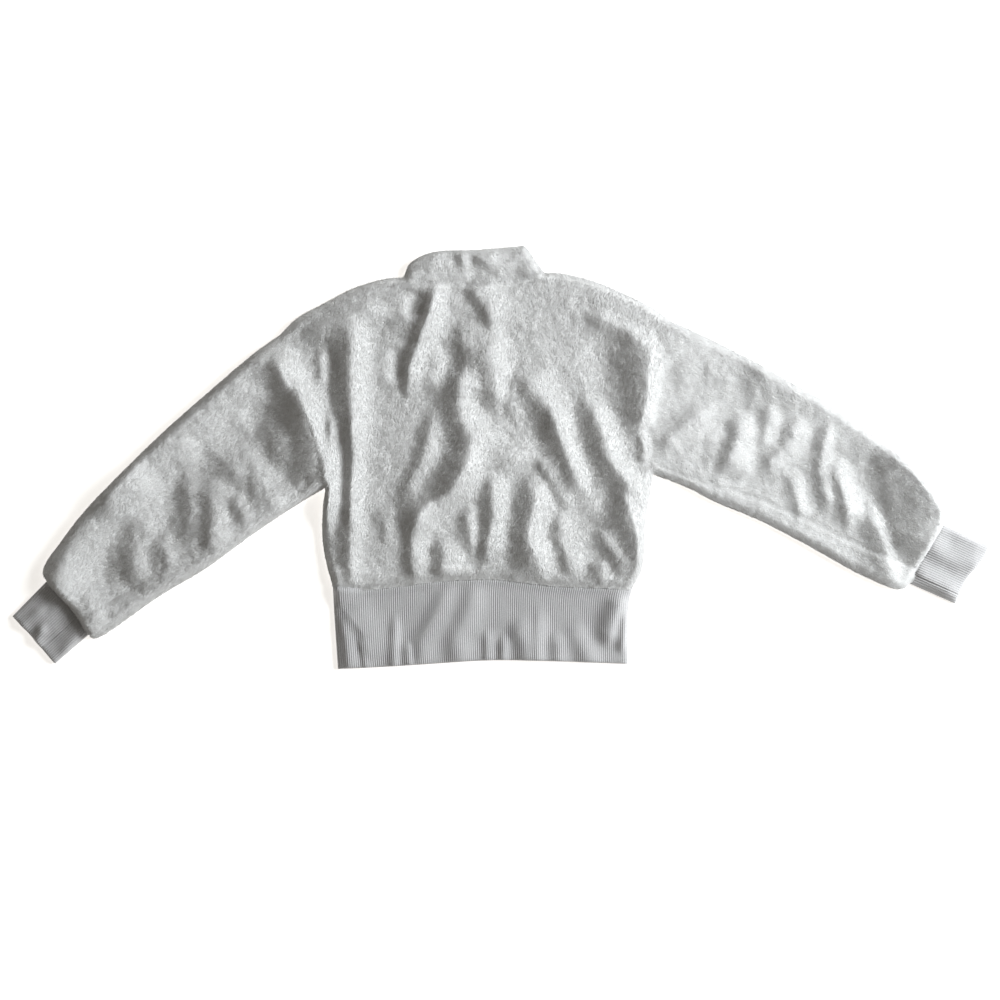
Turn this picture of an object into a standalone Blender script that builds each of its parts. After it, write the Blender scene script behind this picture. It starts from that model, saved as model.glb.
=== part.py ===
"""Sherpa fleece jacket, zipped up and laid flat on its front, seen from the back.

Units are millimetres in the tables and metres in the finished meshes.
X runs to the wearer's right, Y from hem to collar and Z up from the surface.
Each piece is a wall of cloth: an outer skin of points, an inner skin, and rims.
"""

import math

import bmesh
import bpy
import numpy as np

MM = 0.001

# Cloth thickness and the levels that the two layers lie at
FLEECE_WALL = 6.0
RIB_WALL = 3.0
LAYER_GAP = 0.3
SEAM_INSET = 0.4
FLEECE_TOP = 16.0
FLEECE_LOW = 12.6
COLLAR_SAG = 4.5
HEM_TOP = 8.0
HEM_LOW = 5.4
CUFF_TOP = 9.0
CUFF_LOW = 6.2
EDGE_ROLL = 17.0
UNDER_ROLL = 6.0
RIB_EDGE_ROLL = 6.0
RIB_END_SHARE = 0.78
RIM = 1.4

# Rise of the hem's back layer where it lies on the zip
ZIP_BULGE = 2.3
ZIP_BULGE_WIDTH = 25.0

# Knitted ribs
RIB_DEPTH = 0.9
HEM_RIBS = 139
CUFF_RIBS = 30

# Centre-front zip, in the channel between the two fronts
ZIP_X = -29.0
CHANNEL_HALF = 7.0
TEETH_INNER = 0.15
TEETH_OUTER = 3.0
TEETH_BOTTOM = 3.0
TEETH_TOP = 5.0
TAPE_BOTTOM = 3.6
TAPE_TOP = 4.4
TAPE_SEAM = 0.1
ZIP_START_Y = -278.0
ZIP_END_Y = 219.0
SLIDER_LENGTH = 13.0
SLIDER_HALF_WIDTH = 4.6
SLIDER_TOP_Y = 216.0
SLIDER_PLATES = ((1.9, 2.7), (5.3, 6.0))
SLIDER_POST_LENGTH = 3.0
SLIDER_POST_HALF = 1.2
EAR_INNER = 2.7
EAR_OUTER = 3.9
EAR_LENGTH = 2.4
EAR_BOTTOM = 0.5
UNION_BITE = 0.2
PULL_AXIS_Y = 207.0
PULL_AXIS_Z = 1.1
PULL_THICKNESS = 1.0
PULL_LENGTH = 30.0
PULL_NECK = 7.0
PULL_NECK_HALF = 2.4
PULL_HALF_WIDTH = 3.6
PULL_BARREL_RADIUS = 0.6
PULL_SHOULDER = 1.5
PULL_END_STEPS = 8
BARREL_SIDES = 12

# Outlines and seams: x, y
SIDE_LEFT = [(-230, -182), (-239, -150), (-245, -115), (-245, -77), (-241, -45)]
SIDE_RIGHT = [(183, -184), (197, -157), (202, -122), (203, -88), (213, -27)]
ARMHOLE_LEFT = [(-241, -45), (-248, -12), (-260, 37), (-278, 81), (-296, 126), (-303, 169)]
ARMHOLE_RIGHT = [(213, -27), (205, 2), (205, 39), (209, 85), (217, 119), (231, 152), (238, 187)]
SHOULDER_LEFT = [(-303, 169), (-279, 192), (-241, 213), (-199, 234), (-158, 246), (-133, 248)]
SHOULDER_RIGHT = [(63, 254), (90, 253), (132, 242), (173, 225), (208, 208), (238, 187)]
BACK_NECK = [(-133, 248), (-96, 242), (-41, 238), (14, 242), (63, 254)]
FRONT_NECK = [(-133, 248), (-103, 210), (-68, 185), (-29, 176), (10, 185), (42, 213), (63, 254)]
HEM_SEAM = [(-230, -182), (-188, -184), (-137, -179), (-82, -172), (-13, -169),
            (28, -173), (83, -179), (139, -181), (183, -184)]
HEM_LEFT = [(-230, -182), (-228, -219), (-223, -293)]
HEM_RIGHT = [(183, -184), (179, -201), (177, -239), (177, -286)]
HEM_END = [(-223, -293), (-158, -290), (-96, -286), (-13, -281), (70, -282), (177, -286)]
SLEEVE_LEFT_TOP = [(-303, 169), (-344, 139), (-406, 86), (-468, 31), (-530, -30),
                   (-573, -75), (-606, -118), (-626, -146), (-630, -161), (-625, -172)]
SLEEVE_LEFT_UNDER = [(-241, -45), (-282, -70), (-344, -112), (-406, -157), (-468, -194),
                     (-530, -238), (-548, -249), (-559, -252), (-567, -246)]
CUFF_SEAM_LEFT = [(-625, -172), (-606, -192), (-584, -217), (-567, -246)]
CUFF_END_LEFT = [(-672, -220), (-647, -246), (-613, -286)]
SLEEVE_RIGHT_TOP = [(238, 187), (276, 170), (339, 139), (401, 104), (463, 68), (525, 24),
                    (566, -10), (594, -41), (609, -64), (614, -81), (612, -94)]
SLEEVE_RIGHT_UNDER = [(213, -27), (256, -43), (297, -64), (359, -90), (421, -122),
                      (483, -157), (525, -177), (545, -184), (558, -183), (567, -176)]
CUFF_SEAM_RIGHT = [(612, -94), (595, -122), (578, -151), (567, -176)]
CUFF_END_RIGHT = [(675, -123), (665, -143), (643, -170), (628, -203)]
COLLAR_LEFT = [(-133, 248), (-126, 265), (-112, 276)]
COLLAR_RIGHT = [(63, 254), (52, 275), (41, 293)]
COLLAR_TOP = [(-112, 276), (-75, 285), (-34, 286), (8, 290), (41, 293)]
COLLAR_FRONT_TOP = [(-112, 276), (-93, 248), (-66, 228), (-29, 221), (1, 230), (28, 253), (41, 293)]

# Folds: start x, y, middle x, y, end x, y, height (below 0 for a hollow), half width
BACK_FOLDS = [
    ((-197, 170), (-199, 9), (-203, -159), 13, 17),
    ((-214, 168), (-219, 50), (-212, -60), -7, 11),
    ((-234, 61), (-223, -12), (-232, -99), 7, 8),
    ((-144, 78), (-140, 9), (-148, -115), 3.5, 22),
    ((-79, 235), (-104, 168), (-128, 108), 11, 15),
    ((-134, 174), (-137, 133), (-129, 89), -5, 10),
    ((-110, 227), (-130, 199), (-158, 174), -4, 19),
    ((-66, 227), (-34, 199), (-5, 154), 6, 11),
    ((-46, 235), (-27, 212), (-8, 174), -4, 8),
    ((-3, 177), (-2, 119), (-6, 67), 8, 10),
    ((-54, 154), (-46, 71), (-32, 14), 9, 18),
    ((-35, -2), (-61, -43), (-96, -77), 8, 15),
    ((-68, 99), (-77, 23), (-126, -71), -8, 18),
    ((14, 117), (49, 110), (78, 83), 6, 11),
    ((12, 81), (35, 89), (60, 71), -5, 12),
    ((72, 89), (101, 9), (130, -90), 11, 14),
    ((53, 71), (74, 20), (100, -38), -6, 11),
    ((125, 99), (145, 43), (180, -35), 9, 14),
    ((115, 67), (133, 9), (188, -71), -7, 11),
    ((139, 172), (166, 112), (180, 39), -9, 21),
    ((-27, 34), (-2, -2), (26, -27), 8, 15),
    ((26, -27), (53, -74), (56, -163), 10, 14),
    ((12, -46), (26, -108), (34, -166), -6, 11),
    ((-9, -32), (-9, -101), (-1, -166), 9, 11),
    ((-27, -53), (-23, -101), (-24, -159), -5, 10),
    ((-74, -67), (-81, -101), (-60, -166), 8, 12),
    ((-104, -77), (-114, -118), (-110, -165), 8, 11),
    ((-126, -77), (-130, -115), (-126, -162), -5, 10),
    ((-46, -63), (-49, -108), (-38, -150), -5, 12),
    ((83, -77), (81, -122), (94, -166), 7, 11),
    ((133, -77), (152, -122), (174, -162), 6, 11),
    ((155, -74), (177, -108), (190, -150), -7, 11),
    ((-275, 174), (-248, 185), (-206, 195), 4, 22),
]
LEFT_SLEEVE_FOLDS = [
    ((-328, 144), (-461, 23), (-590, -157), 7, 22),
    ((-297, 117), (-271, 50), (-253, -27), -8, 15),
    ((-328, 23), (-328, -12), (-344, -49), 5, 19),
    ((-344, 89), (-319, 53), (-292, 14), 4, 11),
    ((-394, -38), (-394, -81), (-395, -122), 7, 11),
    ((-409, -49), (-407, -88), (-410, -126), -6, 10),
    ((-439, -30), (-439, -60), (-438, -88), -4, 8),
    ((-465, -71), (-461, -101), (-457, -126), 4, 12),
    ((-497, -88), (-497, -129), (-494, -177), 6, 11),
    ((-514, -94), (-518, -132), (-515, -170), -5.5, 10),
    ((-585, -177), (-567, -143), (-537, -122), 6, 33),
]
RIGHT_SLEEVE_FOLDS = [
    ((216, 1), (249, 39), (307, 64), 6, 12),
    ((214, 23), (238, 50), (290, 78), -6, 11),
    ((343, 89), (332, 43), (319, -13), 7, 11),
    ((319, 43), (311, 16), (307, -19), -6, 10),
    ((374, 75), (369, 43), (362, 14), 4, 10),
    ((410, 53), (392, 9), (354, -43), 7, 12),
    ((384, 16), (368, -8), (348, -30), -5, 10),
    ((407, -19), (414, -46), (425, -79), 5, 8),
    ((439, -8), (447, -46), (460, -85), 5, 8),
    ((431, 23), (434, -30), (447, -81), -5, 8),
    ((483, -8), (486, -53), (494, -108), 6, 10),
    ((461, -8), (472, -46), (481, -88), -6, 8),
    ((514, -53), (522, -101), (533, -140), 6, 11),
    ((525, 6), (538, -60), (548, -143), -8, 11),
    ((594, -32), (603, -77), (577, -143), 8, 15),
    ((249, 172), (401, 89), (573, -30), 5, 25),
]
HEM_FOLDS = [
    ((-219, -214), (-203, -236), (-181, -276), -1.6, 8),
    ((-110, -281), (-92, -239), (-68, -187), 1.6, 9),
    ((-52, -281), (-46, -242), (-32, -201), 2.0, 9),
    ((57, -214), (57, -250), (57, -281), 3.0, 9),
    ((114, -220), (125, -250), (139, -278), 2.5, 9),
    ((147, -198), (139, -225), (140, -253), -2.0, 8),
    ((172, -192), (160, -223), (152, -262), 5.0, 8),
]
LEFT_CUFF_FOLDS = [
    ((-628, -253), (-612, -236), (-598, -223), 4, 12),
    ((-656, -225), (-639, -214), (-620, -201), 2, 9),
]
RIGHT_CUFF_FOLDS = [
    ((601, -115), (628, -132), (660, -143), 2.5, 10),
    ((587, -150), (614, -163), (638, -177), 3, 10),
]

# Materials: red, green, blue, roughness, metallic
MATERIALS = {
    "cream_fleece": (0.80, 0.77, 0.71, 0.95, 0.0),
    "cream_rib": (0.78, 0.75, 0.70, 0.90, 0.0),
    "cream_tape": (0.74, 0.71, 0.66, 0.85, 0.0),
    "zip_metal": (0.62, 0.62, 0.60, 0.35, 1.0),
}


def clear_scene():
    for item in list(bpy.data.objects):
        bpy.data.objects.remove(item, do_unlink=True)


def make_material(name):
    red, green, blue, roughness, metallic = MATERIALS[name]
    material = bpy.data.materials.new(name)
    material.use_nodes = True
    shader = material.node_tree.nodes["Principled BSDF"]
    shader.inputs["Base Color"].default_value = (red, green, blue, 1.0)
    shader.inputs["Roughness"].default_value = roughness
    shader.inputs["Metallic"].default_value = metallic
    material.diffuse_color = (red, green, blue, 1.0)
    return material


def smooth_curve(points, steps=16):
    """A rounded curve through the points, as a dense polyline."""
    points = np.array(points, float)
    before = 2 * points[0] - points[1]
    after = 2 * points[-1] - points[-2]
    ring = np.vstack([before, points, after])
    t = np.linspace(0, 1, steps, endpoint=False)[:, None]
    spans = []
    for a, b, c, d in zip(ring, ring[1:], ring[2:], ring[3:]):
        bend = 2 * b + (c - a) * t + (2 * a - 5 * b + 4 * c - d) * t ** 2
        spans.append((bend + (3 * b - a - 3 * c + d) * t ** 3) / 2)
    return np.vstack(spans + [points[-1:]])


def lengths_along(line):
    steps = np.hypot(*np.diff(line, axis=0).T)
    return np.concatenate([[0], np.cumsum(steps)])


class Side:
    """One side of a panel: curves end to end, each with its share of 0 to 1."""

    def __init__(self, *parts):
        places, points, start = [], [], 0.0
        for curve, share in parts:
            line = smooth_curve(curve)
            along = lengths_along(line)
            places.append(start + share * along / along[-1])
            points.append(line)
            start += share
        self.places = np.concatenate(places)
        self.points = np.vstack(points)

    def at(self, places):
        x = np.interp(places, self.places, self.points[:, 0])
        y = np.interp(places, self.places, self.points[:, 1])
        return np.stack([x, y], axis=-1)


def part_of(curve, low, high):
    """The stretch of a curve between two values of x."""
    line = smooth_curve(curve)
    inside = line[(line[:, 0] > low) & (line[:, 0] < high)]
    ends = [value for value in (low, high) if line[:, 0].min() < value < line[:, 0].max()]
    order = np.argsort(line[:, 0])
    cuts = [(value, np.interp(value, line[order, 0], line[order, 1])) for value in ends]
    points = np.vstack([inside] + [np.array([cut]) for cut in cuts])
    return points[np.argsort(points[:, 0])]


def patch(bottom, top, left, right, across, up):
    """Plan points of a four-sided panel: a row for each value of up."""
    u = across[None, :, None]
    v = up[:, None, None]
    low, high = bottom.at(across)[None], top.at(across)[None]
    first, last = left.at(up)[:, None], right.at(up)[:, None]
    corners = (1 - v) * ((1 - u) * bottom.at(0) + u * bottom.at(1))
    corners = corners + v * ((1 - u) * top.at(0) + u * top.at(1))
    return (1 - v) * low + v * high + (1 - u) * first + u * last - corners


def inset_grid(plan, amount):
    """Draws the edge of a grid of plan points inwards by a seam's half gap."""
    plan = plan.copy()
    rows, columns = plan.shape[:2]
    for index, inner in ((0, 1), (rows - 1, rows - 2)):
        pull_towards(plan[index], plan[inner], amount)
    for index, inner in ((0, 1), (columns - 1, columns - 2)):
        pull_towards(plan[:, index], plan[:, inner], amount)
    return plan


def pull_towards(edge, inner, amount):
    """Moves a row of edge points square to their own line, to the inner side."""
    along = np.gradient(edge, axis=0)
    square = np.stack([-along[:, 1], along[:, 0]], axis=-1)
    square /= np.linalg.norm(square, axis=1)[:, None]
    facing = np.sign(np.sum(square * (inner - edge), axis=1))
    edge += square * np.where(facing == 0, 1, facing)[:, None] * amount


def distance_to(lines, points):
    """Distance from each point to the nearest of several polylines."""
    flat = points.reshape(-1, 2)
    best = np.full(len(flat), 1e9)
    for line in lines:
        start, step = line[:-1], np.diff(line, axis=0)
        size = np.maximum(np.sum(step ** 2, axis=1), 1e-9)
        reach = flat[:, None] - start[None]
        place = np.clip(np.sum(reach * step, axis=2) / size, 0, 1)
        gap = np.linalg.norm(reach - place[..., None] * step, axis=2)
        best = np.minimum(best, gap.min(axis=1))
    return best.reshape(points.shape[:-1])


def fold_lift(folds, points):
    """Height of the folds at each point: soft ridges and hollows, thin at their ends."""
    flat = points.reshape(-1, 2)
    total = np.zeros(len(flat))
    for start, middle, end, height, half_width in folds:
        line = smooth_curve([start, middle, end], 5)
        along = lengths_along(line)
        step = np.diff(line, axis=0)
        size = np.sum(step ** 2, axis=1)
        reach = flat[:, None] - line[None, :-1]
        place = np.clip(np.sum(reach * step, axis=2) / size, 0, 1)
        gap = np.linalg.norm(reach - place[..., None] * step, axis=2)
        nearest = gap.argmin(axis=1)
        rows = np.arange(len(flat))
        share = along[nearest] + place[rows, nearest] * np.diff(along)[nearest]
        share = share / along[-1]
        taper = np.clip(np.minimum(share, 1 - share) * 4, 0, 1)
        taper = taper * taper * (3 - 2 * taper)
        total += height * taper * np.exp(-(gap[rows, nearest] / half_width) ** 2)
    return total.reshape(points.shape[:-1])


def quarter_round(distance, radius):
    """0 at an edge, rising as a quarter circle to 1 at the radius."""
    share = 1 - np.clip(distance / radius, 0, 1)
    return np.sqrt(np.maximum(1 - share ** 2, 0))


def soft_floor(values, lowest, blend=1.5):
    return (values + lowest + np.sqrt((values - lowest) ** 2 + blend ** 2)) / 2


FREE_EDGES = [smooth_curve(line, 6) for line in (
    SIDE_LEFT, SIDE_RIGHT, SHOULDER_LEFT, SHOULDER_RIGHT, SLEEVE_LEFT_TOP, SLEEVE_LEFT_UNDER,
    SLEEVE_RIGHT_TOP, SLEEVE_RIGHT_UNDER, COLLAR_LEFT, COLLAR_TOP, COLLAR_RIGHT)]
SEAMS = [smooth_curve(line, 6) for line in (
    ARMHOLE_LEFT, ARMHOLE_RIGHT, BACK_NECK, HEM_SEAM, CUFF_SEAM_LEFT, CUFF_SEAM_RIGHT)]
RIB_EDGES = [smooth_curve(line, 6) for line in (HEM_LEFT, HEM_RIGHT)]
SEAM_DIP = 3.5
SEAM_DIP_WIDTH = 8.0


def fleece_top(plan, folds):
    """Height of the pile's surface on the side that shows."""
    dip = SEAM_DIP * np.exp(-(distance_to(SEAMS, plan) / SEAM_DIP_WIDTH) ** 2)
    level = soft_floor(FLEECE_TOP + fold_lift(folds, plan) - dip, FLEECE_LOW)
    middle = FLEECE_WALL + LAYER_GAP / 2
    return middle + (level - middle) * quarter_round(distance_to(FREE_EDGES, plan), EDGE_ROLL)


def fleece_under(plan):
    """Height of the side that rests: flat, and rounded up at the outline."""
    edge = distance_to(FREE_EDGES, plan)
    return FLEECE_WALL * (1 - quarter_round(edge, UNDER_ROLL))


def spread(cells, edge):
    """Places from 0 to 1, even but for two narrow cells at each end."""
    first, second = edge
    return np.concatenate([[0, first], np.linspace(second, 1 - second, cells - 3), [1 - first, 1]])


def with_height(plan, height):
    return np.concatenate([plan, np.broadcast_to(height, plan.shape[:-1])[..., None]], axis=-1)


def bridge_loops(first, second):
    """Triangles between two loops of (place, vertex) pairs that run alongside each other."""
    faces, i, j = [], 0, 0
    while i < len(first) - 1 or j < len(second) - 1:
        take_first = j == len(second) - 1
        if i < len(first) - 1 and j < len(second) - 1:
            take_first = first[i + 1][0] <= second[j + 1][0]
        if take_first:
            faces.append((first[i][1], first[i + 1][1], second[j][1]))
            i += 1
        else:
            faces.append((first[i][1], second[j + 1][1], second[j][1]))
            j += 1
    return faces


def grid_faces(index):
    faces = []
    rows, columns = index.shape
    for row in range(rows - 1):
        for column in range(columns - 1):
            a, b = index[row, column], index[row, column + 1]
            c, d = index[row + 1, column + 1], index[row + 1, column]
            faces += [(a, b, c), (a, c, d)]
    return faces


def border(index, across, up):
    """Vertices round a grid, each with its place from 0 to 4."""
    bottom = [(u, v) for u, v in zip(across, index[0])]
    right = [(1 + u, v) for u, v in zip(up, index[:, -1])]
    top = [(3 - u, v) for u, v in zip(across[::-1], index[-1, ::-1])]
    left = [(4 - u, v) for u, v in zip(up[::-1], index[::-1, 0])]
    return bottom[:-1] + right[:-1] + top[:-1] + left


def build_mesh(name, points, faces, material):
    mesh = bpy.data.meshes.new(name)
    mesh.from_pydata([tuple(point) for point in points * MM], [], faces)
    shape = bmesh.new()
    shape.from_mesh(mesh)
    bmesh.ops.recalc_face_normals(shape, faces=shape.faces)
    if shape.calc_volume(signed=True) < 0:
        bmesh.ops.reverse_faces(shape, faces=shape.faces)
    shape.to_mesh(mesh)
    shape.free()
    mesh.materials.append(material)
    mesh.shade_smooth()
    mesh.set_sharp_from_angle(angle=math.radians(40))
    part = bpy.data.objects.new(name, mesh)
    bpy.context.collection.objects.link(part)
    return part


def make_wall(name, outer, outer_places, inner, inner_places, material):
    """A wall between two open grids, closed by a rim round their borders."""
    outer_index = np.arange(outer.shape[0] * outer.shape[1]).reshape(outer.shape[:2])
    inner_index = np.arange(inner.shape[0] * inner.shape[1]).reshape(inner.shape[:2])
    inner_index += outer_index.size
    faces = grid_faces(outer_index)
    faces += [face[::-1] for face in grid_faces(inner_index)]
    rim = bridge_loops(border(outer_index, *outer_places), border(inner_index, *inner_places))
    faces += [face[::-1] for face in rim]
    points = np.vstack([outer.reshape(-1, 3), inner.reshape(-1, 3)])
    return build_mesh(name, points, faces, material)


def make_tube(name, outer, outer_places, inner, inner_places, material):
    """A tube between two sets of closed rings, a row of points for each ring."""
    outer_index = np.arange(outer.shape[0] * outer.shape[1]).reshape(outer.shape[:2])
    inner_index = np.arange(inner.shape[0] * inner.shape[1]).reshape(inner.shape[:2])
    inner_index += outer_index.size
    outer_index = np.hstack([outer_index, outer_index[:, :1]])
    inner_index = np.hstack([inner_index, inner_index[:, :1]])
    faces = grid_faces(outer_index)
    faces += [face[::-1] for face in grid_faces(inner_index)]
    for row, turn in ((0, -1), (-1, 1)):
        loop = list(zip(outer_places, outer_index[row]))
        hole = list(zip(inner_places, inner_index[row]))
        faces += [face[::turn] for face in bridge_loops(loop, hole)]
    points = np.vstack([outer.reshape(-1, 3), inner.reshape(-1, 3)])
    return build_mesh(name, points, faces, material)


# Grid cells across and up, and the grid lines that the underarm and the neck corner lie on
BACK_CELLS = (32, 22)
BACK_UNDERARM_ROW = 8
BACK_NECK_COLUMN = 10
FRONT_CELLS = (16, 17)
FRONT_UNDERARM_ROW = 6
FRONT_NECK_COLUMN = 8
# Where the two narrow cells at an edge end, as shares of the whole
ACROSS_EDGE = (0.009, 0.03)
UP_EDGE = (0.01, 0.035)
SLEEVE_END_EDGE = (0.012, 0.04)
UPPER_EDGE = (0.02, 0.07)
UNDER_EDGE = (0.04, 0.14)


def panel_places(cells_across, cells_up):
    return spread(cells_across, ACROSS_EDGE), spread(cells_up, UP_EDGE)


def make_back(material):
    across, up = panel_places(*BACK_CELLS)
    bottom = Side((HEM_SEAM, 1.0))
    shoulder, side = across[BACK_NECK_COLUMN], up[BACK_UNDERARM_ROW]
    top = Side((SHOULDER_LEFT, shoulder), (BACK_NECK, 1 - 2 * shoulder), (SHOULDER_RIGHT, shoulder))
    left = Side((SIDE_LEFT, side), (ARMHOLE_LEFT, 1 - side))
    right = Side((SIDE_RIGHT, side), (ARMHOLE_RIGHT, 1 - side))
    plan = patch(bottom, top, left, right, across, up)
    outer_height = fleece_top(plan, BACK_FOLDS)
    plan = inset_grid(plan, SEAM_INSET)
    rest = FLEECE_WALL + LAYER_GAP
    outer_height = np.maximum(outer_height, rest + RIM)
    inner_height = np.maximum(outer_height - FLEECE_WALL, rest)
    outer, inner = with_height(plan, outer_height), with_height(plan, inner_height)
    return make_wall("back", outer, (across, up), inner, (across, up), material)


def make_front(name, left_side, material):
    """One front, flat on the surface, from the side seam to the zip's channel."""
    across, up = panel_places(*FRONT_CELLS)
    if left_side:
        reach = (-999, ZIP_X - CHANNEL_HALF)
        shoulder, side, armhole = SHOULDER_LEFT, SIDE_LEFT, ARMHOLE_LEFT
    else:
        reach = (ZIP_X + CHANNEL_HALF, 999)
        shoulder, side, armhole = SHOULDER_RIGHT, SIDE_RIGHT, ARMHOLE_RIGHT
    hem, neck = part_of(HEM_SEAM, *reach), part_of(FRONT_NECK, *reach)
    side_share, shoulder_share = up[FRONT_UNDERARM_ROW], across[FRONT_NECK_COLUMN]
    outside = Side((side, side_share), (armhole, 1 - side_share))
    if left_side:
        channel = Side((np.array([hem[-1], neck[-1]]), 1.0))
        top = Side((shoulder, shoulder_share), (neck, 1 - shoulder_share))
        sides = (outside, channel)
    else:
        channel = Side((np.array([hem[0], neck[0]]), 1.0))
        top = Side((neck, 1 - shoulder_share), (shoulder, shoulder_share))
        sides = (channel, outside)
    plan = patch(Side((hem, 1.0)), top, *sides, across, up)
    outer_height = np.minimum(fleece_under(plan), FLEECE_WALL - RIM)
    plan = inset_grid(plan, SEAM_INSET)
    outer, inner = with_height(plan, outer_height), with_height(plan, FLEECE_WALL)
    return make_wall(name, outer, (across, up), inner, (across, up), material)


SLEEVE_STATIONS = 23
SLEEVE_INNER_EDGE = 0.04
SLEEVE_UPPER_CELLS = 13
SLEEVE_UNDER_CELLS = 11


def flat_tube_rings(plan_at, stations, upper, under, top_height, under_height):
    """Rings of points over and under a flattened tube, from its plan."""
    over = plan_at(upper, stations)
    below = plan_at(under[::-1], stations)
    over = with_height(over, top_height(over))
    below = with_height(below, under_height(below))
    return np.concatenate([over[:, :-1], below[:, :-1]], axis=1)


def tube_ends_inset(plan, amount):
    """Draws the two ends of a tube's plan inwards by a seam's half gap."""
    plan = plan.copy()
    pull_towards(plan[0], plan[1], amount)
    pull_towards(plan[-1], plan[-2], amount)
    return plan


def make_sleeve(name, armhole, top_line, under_line, cuff_line, folds, material):
    stations = spread(SLEEVE_STATIONS, SLEEVE_END_EDGE)
    upper, under = spread(SLEEVE_UPPER_CELLS, UPPER_EDGE), spread(SLEEVE_UNDER_CELLS, UNDER_EDGE)
    sides = (Side((armhole[::-1], 1.0)), Side((cuff_line, 1.0)),
             Side((top_line, 1.0)), Side((under_line, 1.0)))
    middle = FLEECE_WALL + LAYER_GAP / 2
    rest = FLEECE_WALL + LAYER_GAP

    def skin(wall):
        def plan_at(across, along):
            width = 1 - 2 * wall * SLEEVE_INNER_EDGE
            plan = patch(*sides, 0.5 + (across - 0.5) * width, along)
            return tube_ends_inset(plan, SEAM_INSET)

        def top_height(plan):
            height = fleece_top(plan, folds)
            if wall:
                height = np.maximum(height - FLEECE_WALL, rest)
            height[:, [0, -1]] = middle
            return height

        def under_height(plan):
            height = fleece_under(plan)
            if wall:
                height = np.full_like(height, FLEECE_WALL)
            height[:, [0, -1]] = middle
            return height

        return flat_tube_rings(plan_at, stations, upper, under, top_height, under_height)

    places = np.concatenate([upper[:-1], 2 - under[::-1][:-1], [2]])
    return make_tube(name, skin(0), places, skin(1), places, material)


def rib_wave(count):
    """Places and heights of raised ribs: a crest and a groove for each."""
    places = np.linspace(0, 1, 2 * count + 1)
    wave = np.where(np.arange(2 * count + 1) % 2 == 1, RIB_DEPTH / 2, -RIB_DEPTH / 2)
    return places, wave


CUFF_ROWS = np.array([0.0, 0.45, 0.9, 1.0])
CUFF_INNER_ROWS = np.array([0.0, 0.5, 1.0])
CUFF_EDGE = 0.07
CUFF_INNER_EDGE = 0.05
CUFF_INNER_CELLS = 12


def make_cuff(name, seam, end, folds, material):
    """A ribbed tube, a little thinner than the sleeve that it gathers."""
    sides = (Side((seam, 1.0)), Side((end, 1.0)),
             Side((np.array([seam[0], end[0]], float), 1.0)),
             Side((np.array([seam[-1], end[-1]], float), 1.0)))
    edges = [np.array([seam[0], end[0]], float), np.array([seam[-1], end[-1]], float)]
    middle = RIB_WALL + LAYER_GAP / 2
    rib_places, wave = rib_wave(CUFF_RIBS)

    def ring(across, rows, wall):
        plan = tube_ends_inset(patch(*sides, across, rows), SEAM_INSET)
        roll = quarter_round(distance_to(edges, plan), RIB_EDGE_ROLL)
        ends = np.where(rows == 1, RIB_END_SHARE, 1.0)[:, None]
        if wall:
            return with_height(plan, np.full(plan.shape[:-1], RIB_WALL + LAYER_GAP))
        level = soft_floor(CUFF_TOP + fold_lift(folds, plan), CUFF_LOW) * ends
        relief = np.interp(across, rib_places, wave)[None] * np.ones_like(level)
        return with_height(plan, middle + (level + relief - middle) * roll)

    def under(across, rows, wall):
        plan = tube_ends_inset(patch(*sides, across, rows), SEAM_INSET)
        height = RIB_WALL * (1 - quarter_round(distance_to(edges, plan), RIB_WALL))
        if wall:
            height = np.full(plan.shape[:-1], RIB_WALL)
        return with_height(plan, height)

    def rings(upper, lower, rows, wall):
        over, below = ring(upper, rows, wall), under(lower[::-1], rows, wall)
        over[:, [0, -1], 2] = middle
        below[:, [0, -1], 2] = middle
        return np.concatenate([over[:, :-1], below[:, :-1]], axis=1)

    lower = np.concatenate([[0, 0.03], np.linspace(0.12, 0.88, 7), [0.97, 1]])
    outer = rings(rib_places, lower, CUFF_ROWS, False)
    outer_round = np.concatenate([rib_places[:-1], 2 - lower[::-1][:-1], [2]])
    inside = np.linspace(CUFF_INNER_EDGE, 1 - CUFF_INNER_EDGE, CUFF_INNER_CELLS + 1)
    inner = rings(inside, inside, CUFF_INNER_ROWS, True)
    half_round = np.linspace(0, 1, CUFF_INNER_CELLS + 1)
    inner_round = np.concatenate([half_round[:-1], 1 + half_round])
    return make_tube(name, outer, outer_round, inner, inner_round, material)


HEM_ROWS = np.array([0.0, 0.45, 0.94, 1.0])
HEM_INNER_ROWS = np.array([0.0, 0.5, 1.0])
HEM_FRONT_PLACES = np.concatenate([np.linspace(0, 0.93, 13), [0.985]])
HEM_INNER_CELLS = 34
HEM_INNER_EDGE = 0.012


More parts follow.
